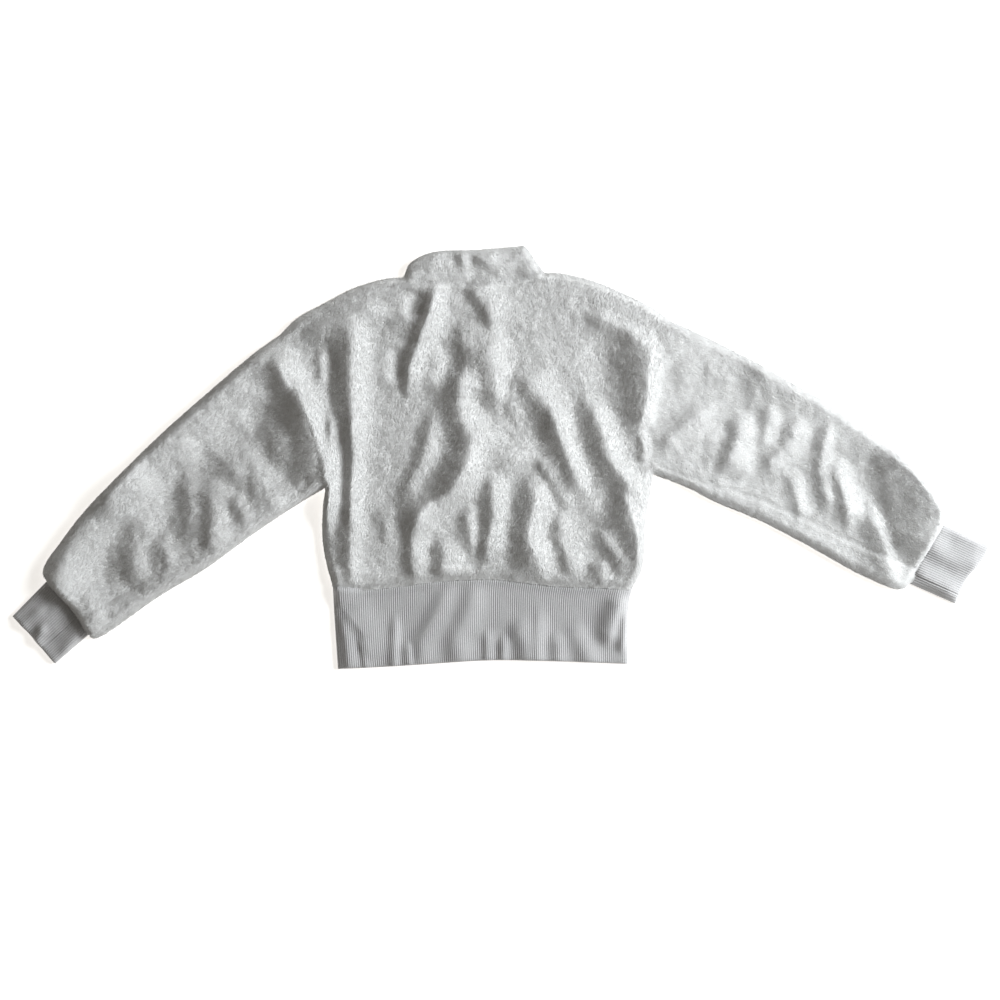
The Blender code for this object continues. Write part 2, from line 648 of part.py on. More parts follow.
def make_hem(material):
    """A ribbed band: across the back, round both sides, to the zip's channel."""
    middle = RIB_WALL + LAYER_GAP / 2
    seam, end = Side((HEM_SEAM, 1.0)), Side((HEM_END, 1.0))
    left, right = Side((HEM_LEFT, 1.0)), Side((HEM_RIGHT, 1.0))
    rib_places, wave = rib_wave(HEM_RIBS)

    def plan_of(across, rows):
        plan = patch(seam, end, left, right, across, rows)
        return tube_ends_inset(plan, SEAM_INSET)

    def over(across, rows, wall):
        plan = plan_of(across, rows)
        if wall:
            over_zip = np.exp(-((plan[..., 0] - ZIP_X) / ZIP_BULGE_WIDTH) ** 2)
            return with_height(plan, RIB_WALL + LAYER_GAP + ZIP_BULGE * over_zip)
        level = soft_floor(HEM_TOP + fold_lift(HEM_FOLDS, plan), HEM_LOW)
        level = level + np.interp(across, rib_places, wave)[None]
        ends = np.where(rows == 1, RIB_END_SHARE, 1.0)[:, None]
        roll = quarter_round(distance_to(RIB_EDGES, plan), RIB_EDGE_ROLL)
        return with_height(plan, middle + (level * ends - middle) * roll)

    def under(across, rows, wall):
        plan = plan_of(across, rows)
        height = RIB_WALL * (1 - quarter_round(distance_to(RIB_EDGES, plan), RIB_WALL))
        if wall:
            height = np.full(plan.shape[:-1], RIB_WALL)
        return with_height(plan, height)

    channel = (ZIP_X + np.array([-CHANNEL_HALF - SEAM_INSET, CHANNEL_HALF + SEAM_INSET]))
    span = np.array([HEM_SEAM[0][0], HEM_SEAM[-1][0]])
    left_stop, right_stop = (channel - span[0]) / (span[1] - span[0])

    def band(upper, rows, wall, edge, front):
        """Points from the channel's left, round the band, to the channel's right."""
        from_left = left_stop + (edge - left_stop) * front
        to_right = right_stop + (1 - edge - right_stop) * front[::-1]
        first, last = under(from_left, rows, wall), under(to_right, rows, wall)
        first[:, 0, 0] = channel[0]
        last[:, -1, 0] = channel[1]
        across = over(edge + (1 - 2 * edge) * upper, rows, wall)
        across[:, [0, -1], 2] = middle
        return np.concatenate([first, across, last], axis=1)

    outer = band(rib_places, HEM_ROWS, False, 0.0, HEM_FRONT_PLACES)
    outer_round = np.concatenate([HEM_FRONT_PLACES, 1 + rib_places, 2 + (1 - HEM_FRONT_PLACES[::-1])])
    inner_upper = np.linspace(0, 1, HEM_INNER_CELLS + 1)
    inner_front = HEM_FRONT_PLACES
    inner = band(inner_upper, HEM_INNER_ROWS, True, HEM_INNER_EDGE, inner_front)
    inner_round = np.concatenate([inner_front, 1 + inner_upper, 2 + (1 - inner_front[::-1])])
    return make_wall("hem_rib", outer, (outer_round / 3, HEM_ROWS), inner,
                     (inner_round / 3, HEM_INNER_ROWS), material)


COLLAR_ROWS = np.array([0.0, 0.15, 0.5, 0.85, 1.0])
COLLAR_BACK_CELLS = 15
COLLAR_FRONT_CELLS = 11
COLLAR_INNER_EDGE = 0.045
COLLAR_FRONT_EDGE = 0.07


def make_collar(material):
    """A band that stands round the neck, laid flat with its front under its back."""
    middle = FLEECE_WALL + LAYER_GAP / 2
    rest = FLEECE_WALL + LAYER_GAP
    left_reach = (-999, ZIP_X - CHANNEL_HALF)
    right_reach = (ZIP_X + CHANNEL_HALF, 999)
    back_sides = (Side((BACK_NECK, 1.0)), Side((COLLAR_TOP, 1.0)),
                  Side((COLLAR_LEFT, 1.0)), Side((COLLAR_RIGHT, 1.0)))

    def front_sides(reach, fold, left_side):
        neck, top = part_of(FRONT_NECK, *reach), part_of(COLLAR_FRONT_TOP, *reach)
        stop = -1 if left_side else 0
        channel = Side((np.array([neck[stop], top[stop]]), 1.0))
        ends = (Side((fold, 1.0)), channel) if left_side else (channel, Side((fold, 1.0)))
        return (Side((neck, 1.0)), Side((top, 1.0))) + ends

    left_front = front_sides(left_reach, COLLAR_LEFT, True)
    right_front = front_sides(right_reach, COLLAR_RIGHT, False)

    def band(wall):
        back_places = spread(COLLAR_BACK_CELLS, UPPER_EDGE)
        front_places = np.linspace(0, 1, COLLAR_FRONT_CELLS + 1)
        front_places[1] = COLLAR_FRONT_EDGE
        if wall:
            back_places = 0.5 + (back_places - 0.5) * (1 - 2 * COLLAR_INNER_EDGE)
            front_places = COLLAR_FRONT_EDGE + front_places * (1 - COLLAR_FRONT_EDGE)
        plans = [patch(*left_front, front_places, COLLAR_ROWS)[:, ::-1],
                 patch(*back_sides, back_places, COLLAR_ROWS),
                 patch(*right_front, 1 - front_places[::-1], COLLAR_ROWS)[:, ::-1]]
        for plan in plans:
            pull_towards(plan[0], plan[1], SEAM_INSET)
        sag = COLLAR_SAG * COLLAR_ROWS[:, None] ** 2 * np.sin(math.pi * back_places)[None]
        back_height = fleece_top(plans[1], []) - sag
        if wall:
            back_height = np.maximum(back_height - FLEECE_WALL, rest - sag)
        else:
            back_height = np.maximum(back_height, rest - sag + RIM)
        under_heights = []
        for plan in (plans[0], plans[2]):
            height = np.minimum(fleece_under(plan), FLEECE_WALL - RIM)
            under_heights.append(np.full_like(height, FLEECE_WALL) if wall else height)
        back_height[:, [0, -1]] = middle
        parts = [with_height(plans[0], under_heights[0])[:, :-1],
                 with_height(plans[1], back_height),
                 with_height(plans[2], under_heights[1])[:, 1:]]
        return np.concatenate(parts, axis=1)

    outer, inner = band(False), band(True)
    places = np.linspace(0, 1, outer.shape[1])
    return make_wall("collar", outer, (places, COLLAR_ROWS), inner, (places, COLLAR_ROWS), material)


def make_box(name, low, high, material):
    x, y, z = zip(low, high)
    corners = [(a, b, c) for c in z for b in y for a in x]
    faces = [(0, 2, 3, 1), (4, 5, 7, 6), (0, 1, 5, 4), (2, 6, 7, 3), (0, 4, 6, 2), (1, 3, 7, 5)]
    return build_mesh(name, np.array(corners, float), faces, material)


def join_to(part, others):
    """Unites other solids with a part."""
    for other in others:
        union = part.modifiers.new("union_" + other.name, "BOOLEAN")
        union.operation = "UNION"
        union.object = other
        other.hide_render = True
        other.display_type = "WIRE"


def make_zip(tape, metal):
    for name, turn in (("left", -1), ("right", 1)):
        teeth = sorted((ZIP_X + turn * TEETH_INNER, ZIP_X + turn * TEETH_OUTER))
        strip = sorted((ZIP_X + turn * (TEETH_OUTER + LAYER_GAP), ZIP_X + turn * (CHANNEL_HALF - TAPE_SEAM)))
        post = SLIDER_TOP_Y - SLIDER_POST_LENGTH - LAYER_GAP
        make_box("zip_teeth_" + name, (teeth[0], ZIP_START_Y, TEETH_BOTTOM),
                 (teeth[1], post, TEETH_TOP), metal)
        make_box("zip_tape_" + name, (strip[0], ZIP_START_Y, TAPE_BOTTOM),
                 (strip[1], ZIP_END_Y, TAPE_TOP), tape)


def make_slider(metal):
    """Two plates on a post, with two ears that hold the pull tab's barrel."""
    start = SLIDER_TOP_Y - SLIDER_LENGTH
    post_start = SLIDER_TOP_Y - SLIDER_POST_LENGTH
    (low, inside), (outside, high) = SLIDER_PLATES
    slider = make_box("slider", (ZIP_X - SLIDER_HALF_WIDTH, start, low),
                      (ZIP_X + SLIDER_HALF_WIDTH, SLIDER_TOP_Y, inside), metal)
    others = [
        make_box("cutter_upper_plate", (ZIP_X - SLIDER_HALF_WIDTH, start, outside),
                 (ZIP_X + SLIDER_HALF_WIDTH, SLIDER_TOP_Y, high), metal),
        make_box("cutter_post", (ZIP_X - SLIDER_POST_HALF, post_start, inside - UNION_BITE),
                 (ZIP_X + SLIDER_POST_HALF, SLIDER_TOP_Y - UNION_BITE, outside + UNION_BITE), metal),
    ]
    for name, turn in (("left", -1), ("right", 1)):
        ear = sorted((ZIP_X + turn * EAR_INNER, ZIP_X + turn * EAR_OUTER))
        others.append(make_box("cutter_ear_" + name, (ear[0], PULL_AXIS_Y - EAR_LENGTH / 2, EAR_BOTTOM),
                               (ear[1], PULL_AXIS_Y + EAR_LENGTH / 2, low + UNION_BITE), metal))
    join_to(slider, others)
    return slider


def make_prism(name, outline, axis, low, high, material):
    """A straight solid on an outline, along X (axis 0) or Z (axis 2)."""
    count = len(outline)
    if axis == 0:
        points = [(end, a, b) for end in (low, high) for a, b in outline]
    else:
        points = [(a, b, end) for end in (low, high) for a, b in outline]
    faces = [tuple(range(count))[::-1], tuple(range(count, 2 * count))]
    faces += [(k, (k + 1) % count, count + (k + 1) % count, count + k) for k in range(count)]
    return build_mesh(name, np.array(points, float), faces, material)


def make_pull_tab(metal):
    """A flat tab on a round barrel, its origin on the barrel's axis."""
    half = PULL_THICKNESS / 2
    end = -PULL_LENGTH + PULL_HALF_WIDTH
    shoulder = -PULL_NECK + PULL_SHOULDER
    turn = [math.pi * k / PULL_END_STEPS for k in range(PULL_END_STEPS + 1)]
    outline = [(-PULL_NECK_HALF, 0), (-PULL_NECK_HALF, shoulder), (-PULL_HALF_WIDTH, -PULL_NECK)]
    outline += [(-PULL_HALF_WIDTH * math.cos(a), end - PULL_HALF_WIDTH * math.sin(a)) for a in turn]
    outline += [(PULL_HALF_WIDTH, -PULL_NECK), (PULL_NECK_HALF, shoulder), (PULL_NECK_HALF, 0)]
    tab = make_prism("pull_tab", outline, 2, -half, half, metal)
    turn = [2 * math.pi * k / BARREL_SIDES for k in range(BARREL_SIDES)]
    ring = [(PULL_BARREL_RADIUS * math.cos(a), PULL_BARREL_RADIUS * math.sin(a)) for a in turn]
    barrel = make_prism("cutter_barrel", ring, 0, -PULL_NECK_HALF, PULL_NECK_HALF, metal)
    for part in (tab, barrel):
        part.location = (ZIP_X * MM, PULL_AXIS_Y * MM, PULL_AXIS_Z * MM)
    join_to(tab, [barrel])
    return tab


def main():
    clear_scene()
    fleece, rib = make_material("cream_fleece"), make_material("cream_rib")
    tape, metal = make_material("cream_tape"), make_material("zip_metal")
    make_back(fleece)
    make_front("front_left", True, fleece)
    make_front("front_right", False, fleece)
    make_sleeve("sleeve_left", ARMHOLE_LEFT, SLEEVE_LEFT_TOP, SLEEVE_LEFT_UNDER,
                CUFF_SEAM_LEFT, LEFT_SLEEVE_FOLDS, fleece)
    make_sleeve("sleeve_right", ARMHOLE_RIGHT, SLEEVE_RIGHT_TOP, SLEEVE_RIGHT_UNDER,
                CUFF_SEAM_RIGHT, RIGHT_SLEEVE_FOLDS, fleece)
    make_collar(fleece)
    make_hem(rib)
    make_cuff("cuff_left", CUFF_SEAM_LEFT, CUFF_END_LEFT, LEFT_CUFF_FOLDS, rib)
    make_cuff("cuff_right", CUFF_SEAM_RIGHT, CUFF_END_RIGHT, RIGHT_CUFF_FOLDS, rib)
    make_zip(tape, metal)
    make_slider(metal)
    make_pull_tab(metal)


main()
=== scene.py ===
"""Looks of a white sherpa fleece jacket, laid flat on its front and seen from above.

Tables are in millimetres, meshes in metres. X runs to the wearer's right, Y from hem
to collar and Z up. The outlines and the main folds are those of the solids.
"""

import math
from collections import namedtuple

import bmesh
import bpy
import numpy as np
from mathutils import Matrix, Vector


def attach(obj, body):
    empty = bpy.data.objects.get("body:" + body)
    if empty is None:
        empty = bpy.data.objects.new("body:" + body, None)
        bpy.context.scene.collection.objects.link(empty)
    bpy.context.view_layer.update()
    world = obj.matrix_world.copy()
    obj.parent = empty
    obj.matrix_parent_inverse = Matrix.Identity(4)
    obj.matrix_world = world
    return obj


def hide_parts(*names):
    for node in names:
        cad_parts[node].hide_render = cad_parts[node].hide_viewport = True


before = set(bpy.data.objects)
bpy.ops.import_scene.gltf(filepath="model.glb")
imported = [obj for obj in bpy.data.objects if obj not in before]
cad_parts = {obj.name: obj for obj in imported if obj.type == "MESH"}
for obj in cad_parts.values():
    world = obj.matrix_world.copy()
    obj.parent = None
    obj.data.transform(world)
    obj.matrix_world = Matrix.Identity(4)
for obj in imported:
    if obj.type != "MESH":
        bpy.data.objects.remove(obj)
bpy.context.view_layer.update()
BODY = "garment"
MM = 0.001

# Levels of the two layers, as in the solids
FLEECE_WALL = 6.0
RIB_WALL = 3.0
LAYER_GAP = 0.3
FLEECE_REST = FLEECE_WALL + LAYER_GAP
FLEECE_MIDDLE = FLEECE_WALL + LAYER_GAP / 2
RIB_MIDDLE = RIB_WALL + LAYER_GAP / 2
RIB_TUCK = 3.0
FLEECE_TOP = 16.0
FLEECE_LOW = 10.5
CUFF_MOUTH = 13.5
CUFF_GATHER = 11.0
COLLAR_SAG = 4.5
HEM_TOP = 8.0
HEM_LOW = 5.4
CUFF_TOP = 9.0
CUFF_LOW = 6.2
EDGE_ROLL = 13.0
UNDER_ROLL = 6.0
RIB_EDGE_ROLL = 9.0
RIM = 1.4
SEAM_DIP = 3.0
SEAM_DIP_WIDTH = 6.0
ARMHOLE_DIP = 0.2
ARMHOLE_DIP_WIDTH = 4.0
UNDERARM_DIP = 0.8
UNDERARM_DIP_WIDTH = 2.5
ZIP_BULGE = 2.3
ZIP_BULGE_WIDTH = 25.0
ZIP_X = -29.0
CHANNEL_HALF = 7.0
CHANNEL_REACH = {"left": (-999, ZIP_X - CHANNEL_HALF), "right": (ZIP_X + CHANNEL_HALF, 999)}

# Small waves of the fleece: size, height, seed
FLEECE_WAVES = ((30, 0.7, 3), (12, 0.35, 4), (6.5, 0.25, 5))

# Folds: how far they are felt, in slopes, and how they thin out towards their ends
FOLD_REACH = 2.5
END_SHARE = 0.3
LONGEST_END = 46.0
END_WIDTH = (0.65, 0.35)
CREST_SHARPNESS = 2.0

# Sizes for the spacing of the grids, and the share of the side seam in a side
BODY_HEIGHT = 430.0
BACK_WIDTH = 480.0
FRONT_WIDTH = 240.0
SLEEVE_WIDTH = 150.0
SLEEVE_LENGTH = 420.0
COLLAR_HEIGHT = 40.0
COLLAR_ROLL = 12.0
COLLAR_BACK = 190.0
COLLAR_FRONT = 110.0
SHOULDER_SHARE = 0.30
SIDE_SHARE = 0.32
TUBE_INSET = 0.97
COLLAR_INSET = 3.0

# Pile: how deep it stands over the cloth, above and where it is pressed flat below, and which
# slope, as the height of the unit normal, counts as pressed
PILE_DEPTH = 1.8
PRESSED_DEPTH = 0.9
PRESSED_SLOPE = -0.85
PRESSED_FADE = 0.7
THINNED_SLOPE = -0.5
CLOTH_WALL = 1.6
PILE_LENGTH = 4.8
PILE_WIDTH = 1.15
PILE_THICKNESS = 0.15
PILE_TILT = 0.05
SHADING_RELIEF = 2.25
STEEPEST_SHADING = 0.72
LOWEST_LEANED = 0.2
TRIMMED_PILE = 1.5
PILE_LENGTHS = (0.7, 1.2)
PILE_WIDTHS = (0.7, 1.3)
PILE_LIFTS = (0.3, 0.9)
PILE_ROOT = 0.1
PILE_SPREAD = 0.22
PILE_SWIRLS = ((0.5, 30), (0.45, 9))
BACK_NAP = (-0.15, -1.0, 0.0)
FRONT_NAP = (0.1, -1.0, 0.0)
COLLAR_NAP = (0.4, -0.7, 0.0)
OUTWARD_REACH = 9.0
BACK_OUTWARD = 1.6
FRONT_THINNING = 4
SLEEVE_SHARE = 0.72
PRESSED_SHARE = 0.3

# Knitted ribs
RIB_DEPTH = 0.85
RIB_SHARPNESS = 0.8
RIB_MEAN = 0.6
HEM_RIBS = 139
CUFF_RIBS = 30
POINTS_PER_RIB = 5
UNDER_POINTS_PER_RIB = 4
RIB_FOLD_RISE = 1.6
RIB_BLEND = 0.6
HEM_WAVE = 0.35
HEM_WAVE_SIZE = 17
HEM_WAVE_SEED = 8
CUFF_WAVE = 0.4
CUFF_WAVE_SIZE = 14
SEAM_RISE = 2.6
SEAM_RISE_WIDTH = 6.0
CUFF_SEAM_DEPTH = 1.3
CUFF_SEAM_WIDTH = 0.9
GROOVE_LEVEL = 0.4
GROOVE_SHARE = 0.6
CHANNEL_CLEARANCE = 0.4

# Rows from a rib's seam (0) to its folded edge (1): where it turns over, and its thickness there
HEM_TURN = ((0.95, 0.97, 0.985, 0.995, 1.0), (1, 0.96, 0.88, 0.72, 0.5))
CUFF_TURN = ((0.9, 0.93, 0.96, 0.985, 1.0), (1, 0.97, 0.9, 0.75, 0.5))
HEM_ROWS = 27
CUFF_ROWS = 20

# The ribs' inner walls: how far they start from an edge, and how many points they have
HEM_INSIDE = 0.010
HEM_LIP = 0.002
HEM_INSIDE_BACK = 120
HEM_INSIDE_FRONT = 50
CUFF_INSIDE = 0.045
CUFF_INSIDE_POINTS = 41

# Zip
TOOTH_PITCH = 2.6
TOOTH_THICKNESS = 1.2
TOOTH_CORNER = 0.4
TOOTH_HEAD = 1.0
TOOTH_HALVES = (0.5, 0.62)
TEETH_INNER = 0.15
TEETH_OUTER = 3.0
TEETH_LEVELS = (3.0, 5.0)
ZIP_START_Y = -278.0
TEETH_END_Y = 212.7
STITCH_PITCH = 3.4
STITCH_SIZE = (0.55, 2.3, 0.4)
STITCH_ROW = 6.1
TAPE_BOTTOM = 3.6

# Setting, in metres
FLOOR_SIZE = 8
FLOOR_LEVEL = -0.0002
FLOOR_COLOUR = (0.94, 0.94, 0.94)
FLOOR_ROUGHNESS = 0.9
FLOOR_GLOW = {"Specular IOR Level": 0.1, "Emission Color": (1.0, 0.97, 0.93, 1), "Emission Strength": 0.7}
PHOTO_WIDTH = 1.379
CAMERA_PLACE = (0.0007, -0.0600, 2.3)
SENSOR = 36.0
OUTLINE_LEVEL = 0.005
SKY = {"Color": (1.0, 0.945, 0.865, 1), "Strength": 0.15}
KEY_PLACE = (3.1, 0.65, 1.95)
KEY_SIZE = 1.7
KEY_POWER = 196
KEY_COLOUR = (0.945, 0.98, 1.0)

# Outlines and seams: x, y
SIDE_LEFT = [(-230, -182), (-239, -150), (-245, -115), (-245, -77), (-241, -45)]
SIDE_RIGHT = [(183, -184), (197, -157), (202, -122), (203, -88), (213, -27)]
ARMHOLE_LEFT = [(-241, -45), (-248, -12), (-260, 37), (-278, 81), (-296, 126), (-303, 169)]
ARMHOLE_RIGHT = [(213, -27), (205, 2), (205, 39), (209, 85), (217, 119), (231, 152), (238, 187)]
SHOULDER_LEFT = [(-303, 169), (-279, 192), (-241, 213), (-199, 234), (-158, 246), (-133, 248)]
SHOULDER_RIGHT = [(63, 254), (90, 253), (132, 242), (173, 225), (208, 208), (238, 187)]
BACK_NECK = [(-133, 248), (-96, 242), (-41, 238), (14, 242), (63, 254)]
FRONT_NECK = [(-133, 248), (-103, 210), (-68, 185), (-29, 176), (10, 185), (42, 213), (63, 254)]
HEM_SEAM = [(-230, -182), (-188, -184), (-137, -179), (-82, -172), (-13, -169),
            (28, -173), (83, -179), (139, -181), (183, -184)]
HEM_LEFT = [(-230, -182), (-228, -219), (-223, -293)]
HEM_RIGHT = [(183, -184), (179, -201), (177, -239), (177, -286)]
HEM_END = [(-223, -293), (-158, -290), (-96, -286), (-13, -281), (70, -282), (177, -286)]
SLEEVE_LEFT_TOP = [(-303, 169), (-344, 139), (-406, 86), (-468, 31), (-530, -30),
                   (-573, -75), (-606, -118), (-626, -146), (-630, -161), (-625, -172)]
SLEEVE_LEFT_UNDER = [(-241, -45), (-282, -70), (-344, -112), (-406, -157), (-468, -194),
                     (-530, -238), (-548, -249), (-559, -252), (-567, -246)]
CUFF_SEAM_LEFT = [(-625, -172), (-606, -192), (-584, -217), (-567, -246)]
CUFF_END_LEFT = [(-672, -220), (-647, -246), (-613, -286)]
CUFF_JOIN_LEFT = [(-585, -226), (-607, -244), (-632, -264)]
SLEEVE_RIGHT_TOP = [(238, 187), (276, 170), (339, 139), (401, 104), (463, 68), (525, 24),
                    (566, -10), (594, -41), (609, -64), (614, -81), (612, -94)]
SLEEVE_RIGHT_UNDER = [(213, -27), (256, -43), (297, -64), (359, -90), (421, -122),
                      (483, -157), (525, -177), (545, -184), (558, -183), (567, -176)]
CUFF_SEAM_RIGHT = [(612, -94), (595, -122), (578, -151), (567, -176)]
CUFF_END_RIGHT = [(675, -123), (665, -143), (643, -170), (628, -203)]
CUFF_JOIN_RIGHT = [(572, -164), (598, -176), (632, -191)]
COLLAR_LEFT = [(-133, 248), (-126, 265), (-112, 276)]
COLLAR_RIGHT = [(63, 254), (58, 261), (49, 273), (41, 285), (35, 292)]
COLLAR_TOP = [(-112, 276), (-98, 282), (-75, 286), (-34, 287), (8, 290), (35, 292)]
COLLAR_FRONT_TOP = [(-112, 276), (-93, 248), (-66, 228), (-29, 221), (1, 230), (26, 253), (35, 292)]
UNDERARM_SEAM_LEFT = [(-250, -24), (-328, -64), (-406, -115), (-482, -166), (-547, -205), (-572, -221)]
UNDERARM_SEAM_RIGHT = [(216, -13), (263, -30), (339, -53), (414, -83), (483, -117), (538, -140),
                       (569, -154)]

# Folds. Each crest is drawn from its top end down, with its height (below 0 for a hollow)
# and how far it slopes on the side that faces left and on the side that faces right
BACK_FOLDS = [
    ([(-196, 196), (-201, 160), (-203, 120), (-203, 80), (-202, 40), (-202, 0)], 12, 26, 18),
    ([(-203, 66), (-203, 30), (-203, -20), (-205, -70), (-207, -110)], 8, 8, 14),
    ([(-201, -50), (-203, -100), (-204, -140), (-200, -192)], 5, 14, 13),
    ([(-232, 70), (-231, 40), (-230, 5), (-230, -35), (-232, -65), (-236, -100)], 5.5, 9, 9),
    ([(-236, 172), (-236, 130), (-232, 90), (-226, 60), (-218, 30), (-216, 0), (-216, -50)],
     -3, 10, 14),
    ([(-82, 246), (-91, 216), (-99, 190), (-108, 166), (-117, 142), (-123, 118), (-125, 92),
      (-122, 72)], 8.5, 10, 16),
    ([(-80, 250), (-94, 208), (-106, 176), (-116, 150)], 4, 52, 14),
    ([(-106, 230), (-116, 210), (-122, 186)], -4, 13, 15),
    ([(-140, 152), (-142, 125), (-137, 96)], -3, 9, 11),
    ([(-86, 160), (-90, 135), (-92, 112), (-92, 76)], 2.6, 14, 12),
    ([(-58, 190), (-48, 156), (-44, 134), (-47, 116), (-55, 96), (-56, 70)], 6.5, 14, 30),
    ([(-46, 128), (-54, 98), (-56, 78), (-52, 58), (-45, 30), (-42, 8), (-46, -14), (-58, -34),
      (-74, -52), (-90, -66)], 9.5, 25, 22),
    ([(-40, 24), (-41, 2), (-49, -22), (-65, -42), (-85, -60), (-103, -76), (-116, -98), (-119, -126)],
     11, 26, 16),
    ([(-92, -58), (-110, -80), (-118, -104), (-120, -125), (-118, -150), (-112, -184)], 5.5, 11, 18),
    ([(-88, 74), (-94, 44), (-98, 16), (-108, -10), (-122, -36), (-134, -62), (-136, -78)],
     4.4, 12, 16),
    ([(-46, 240), (-30, 222), (-19, 206), (-12, 188), (-8, 168)], 6, 12, 24),
    ([(-4, 186), (-8, 156), (-9, 126), (-7, 98), (-5, 74), (-8, 50)], 8, 22, 17),
    ([(24, 120), (21, 96), (18, 78), (14, 60), (8, 46)], 2.5, 8, 18),
    ([(22, 124), (40, 104), (55, 82), (70, 60), (79, 40), (87, 18), (92, 2)], 7.5, 20, 19),
    ([(62, 76), (74, 52), (82, 30), (90, 8), (97, -10), (105, -28), (112, -44), (120, -66)], 8, 17, 14),
    ([(108, 90), (119, 74), (132, 54), (140, 34), (145, 14), (153, -6), (167, -26), (182, -46),
      (206, -80)], 9, 22, 15),
    ([(158, -40), (173, -66), (184, -92), (191, -118), (193, -144), (188, -180)], 11, 29, 12),
    ([(204, 180), (206, 150), (204, 120), (202, 90), (198, 64), (190, 40), (184, 20)], 10, 42, 11),
    ([(124, 176), (138, 152), (148, 124), (157, 92), (168, 60), (178, 36)], -4, 30, 28),
    ([(196, 40), (197, 12), (196, -16)], 2.2, 8, 8),
    ([(-34, 56), (-18, 28), (2, 6), (24, -10), (38, -26)], 3.5, 30, 24),
    ([(30, -20), (42, -38), (49, -60), (45, -80), (40, -100), (42, -120), (50, -140), (58, -160),
      (62, -176)], 11, 24, 18),
    ([(-8, -14), (-9, -40), (-9, -66), (-10, -90), (-13, -112), (-18, -134), (-26, -160)], 8, 15, 19),
    ([(-40, -60), (-40, -90), (-40, -115), (-38, -140)], 3.5, 14, 8),
    ([(48, 8), (62, -14), (74, -34), (86, -54), (98, -76)], 3.2, 10, 14),
    ([(92, -66), (84, -90), (84, -110), (90, -130), (97, -150), (104, -174)], 4, 12, 17),
    ([(132, -96), (146, -116), (157, -136), (166, -156), (172, -172)], 4.4, 13, 12),
    ([(138, -136), (141, -156), (138, -178)], 3.5, 16, 10),
    ([(-78, -108), (-77, -140), (-79, -172)], 5.5, 14, 22),
    ([(-158, -66), (-156, -94), (-153, -124)], 1.8, 11, 14),
    ([(-274, 156), (-236, 182), (-202, 196), (-174, 203), (-148, 204)], 5.5, 26, 13),
    ([(112, 200), (136, 190), (160, 179), (186, 168), (208, 150)], 4.6, 16, 10),
    ([(-247, 150), (-243, 124), (-242, 92)], 2.5, 9, 8),
    ([(-229, -146), (-225, -166), (-219, -186)], 3, 6, 14),
]
LEFT_SLEEVE_FOLDS = [
    ([(-308, 164), (-292, 124), (-281, 96), (-268, 68), (-257, 40), (-251, 22)], 10, 24, 16),
    ([(-278, 98), (-266, 64), (-254, 34), (-246, 8), (-241, -20), (-238, -60), (-236, -110)],
     12, 44, 12),
    ([(-296, 154), (-350, 114), (-395, 75), (-457, 20), (-518, -40), (-559, -85)], 9, 17, 34),
    ([(-480, -2), (-530, -56), (-578, -112), (-598, -150), (-604, -186), (-600, -220)], 9.5, 22, 40),
    ([(-266, -56), (-346, -103), (-408, -147), (-470, -184), (-534, -228), (-590, -264), (-640, -296)],
     10, 92, 12),
    ([(-286, 96), (-330, 64), (-374, 28), (-434, -26), (-490, -80), (-528, -124), (-552, -164),
      (-560, -204)], -6, 32, 62),
    ([(-612, -148), (-606, -174), (-598, -195), (-583, -210), (-568, -224), (-555, -242), (-544, -262)],
     5.5, 16, 26),
    ([(-306, 140), (-298, 110), (-288, 84)], 3.5, 14, 9),
    ([(-346, 96), (-320, 74), (-294, 58)], 2, 12, 14),
    ([(-368, 60), (-352, 46), (-342, 30)], 1.5, 12, 13),
    ([(-326, 54), (-312, 28), (-303, 2), (-300, -24)], 2.4, 15, 16),
    ([(-262, -34), (-296, -52), (-330, -64), (-352, -76)], 3.4, 14, 9),
    ([(-406, 22), (-380, -3), (-348, -30)], 2.2, 18, 18),
    ([(-428, 30), (-432, 4), (-436, -20)], 1.5, 14, 16),
    ([(-390, -34), (-360, -44), (-330, -50)], -1.5, 10, 10),
    ([(-432, -16), (-426, -46), (-424, -78), (-427, -116)], 3.2, 14, 15),
    ([(-400, -24), (-394, -54), (-391, -84), (-393, -112), (-402, -138)], 5.2, 17, 22),
    ([(-366, -48), (-354, -70), (-343, -98)], 3.2, 11, 14),
    ([(-486, -60), (-480, -90), (-474, -118)], 2.4, 14, 20),
    ([(-488, -66), (-496, -104), (-500, -140), (-504, -180)], 4.8, 20, 20),
    ([(-474, -108), (-458, -132), (-448, -158)], 2.4, 13, 14),
    ([(-564, -178), (-556, -204), (-546, -230)], 2.4, 14, 13),
]
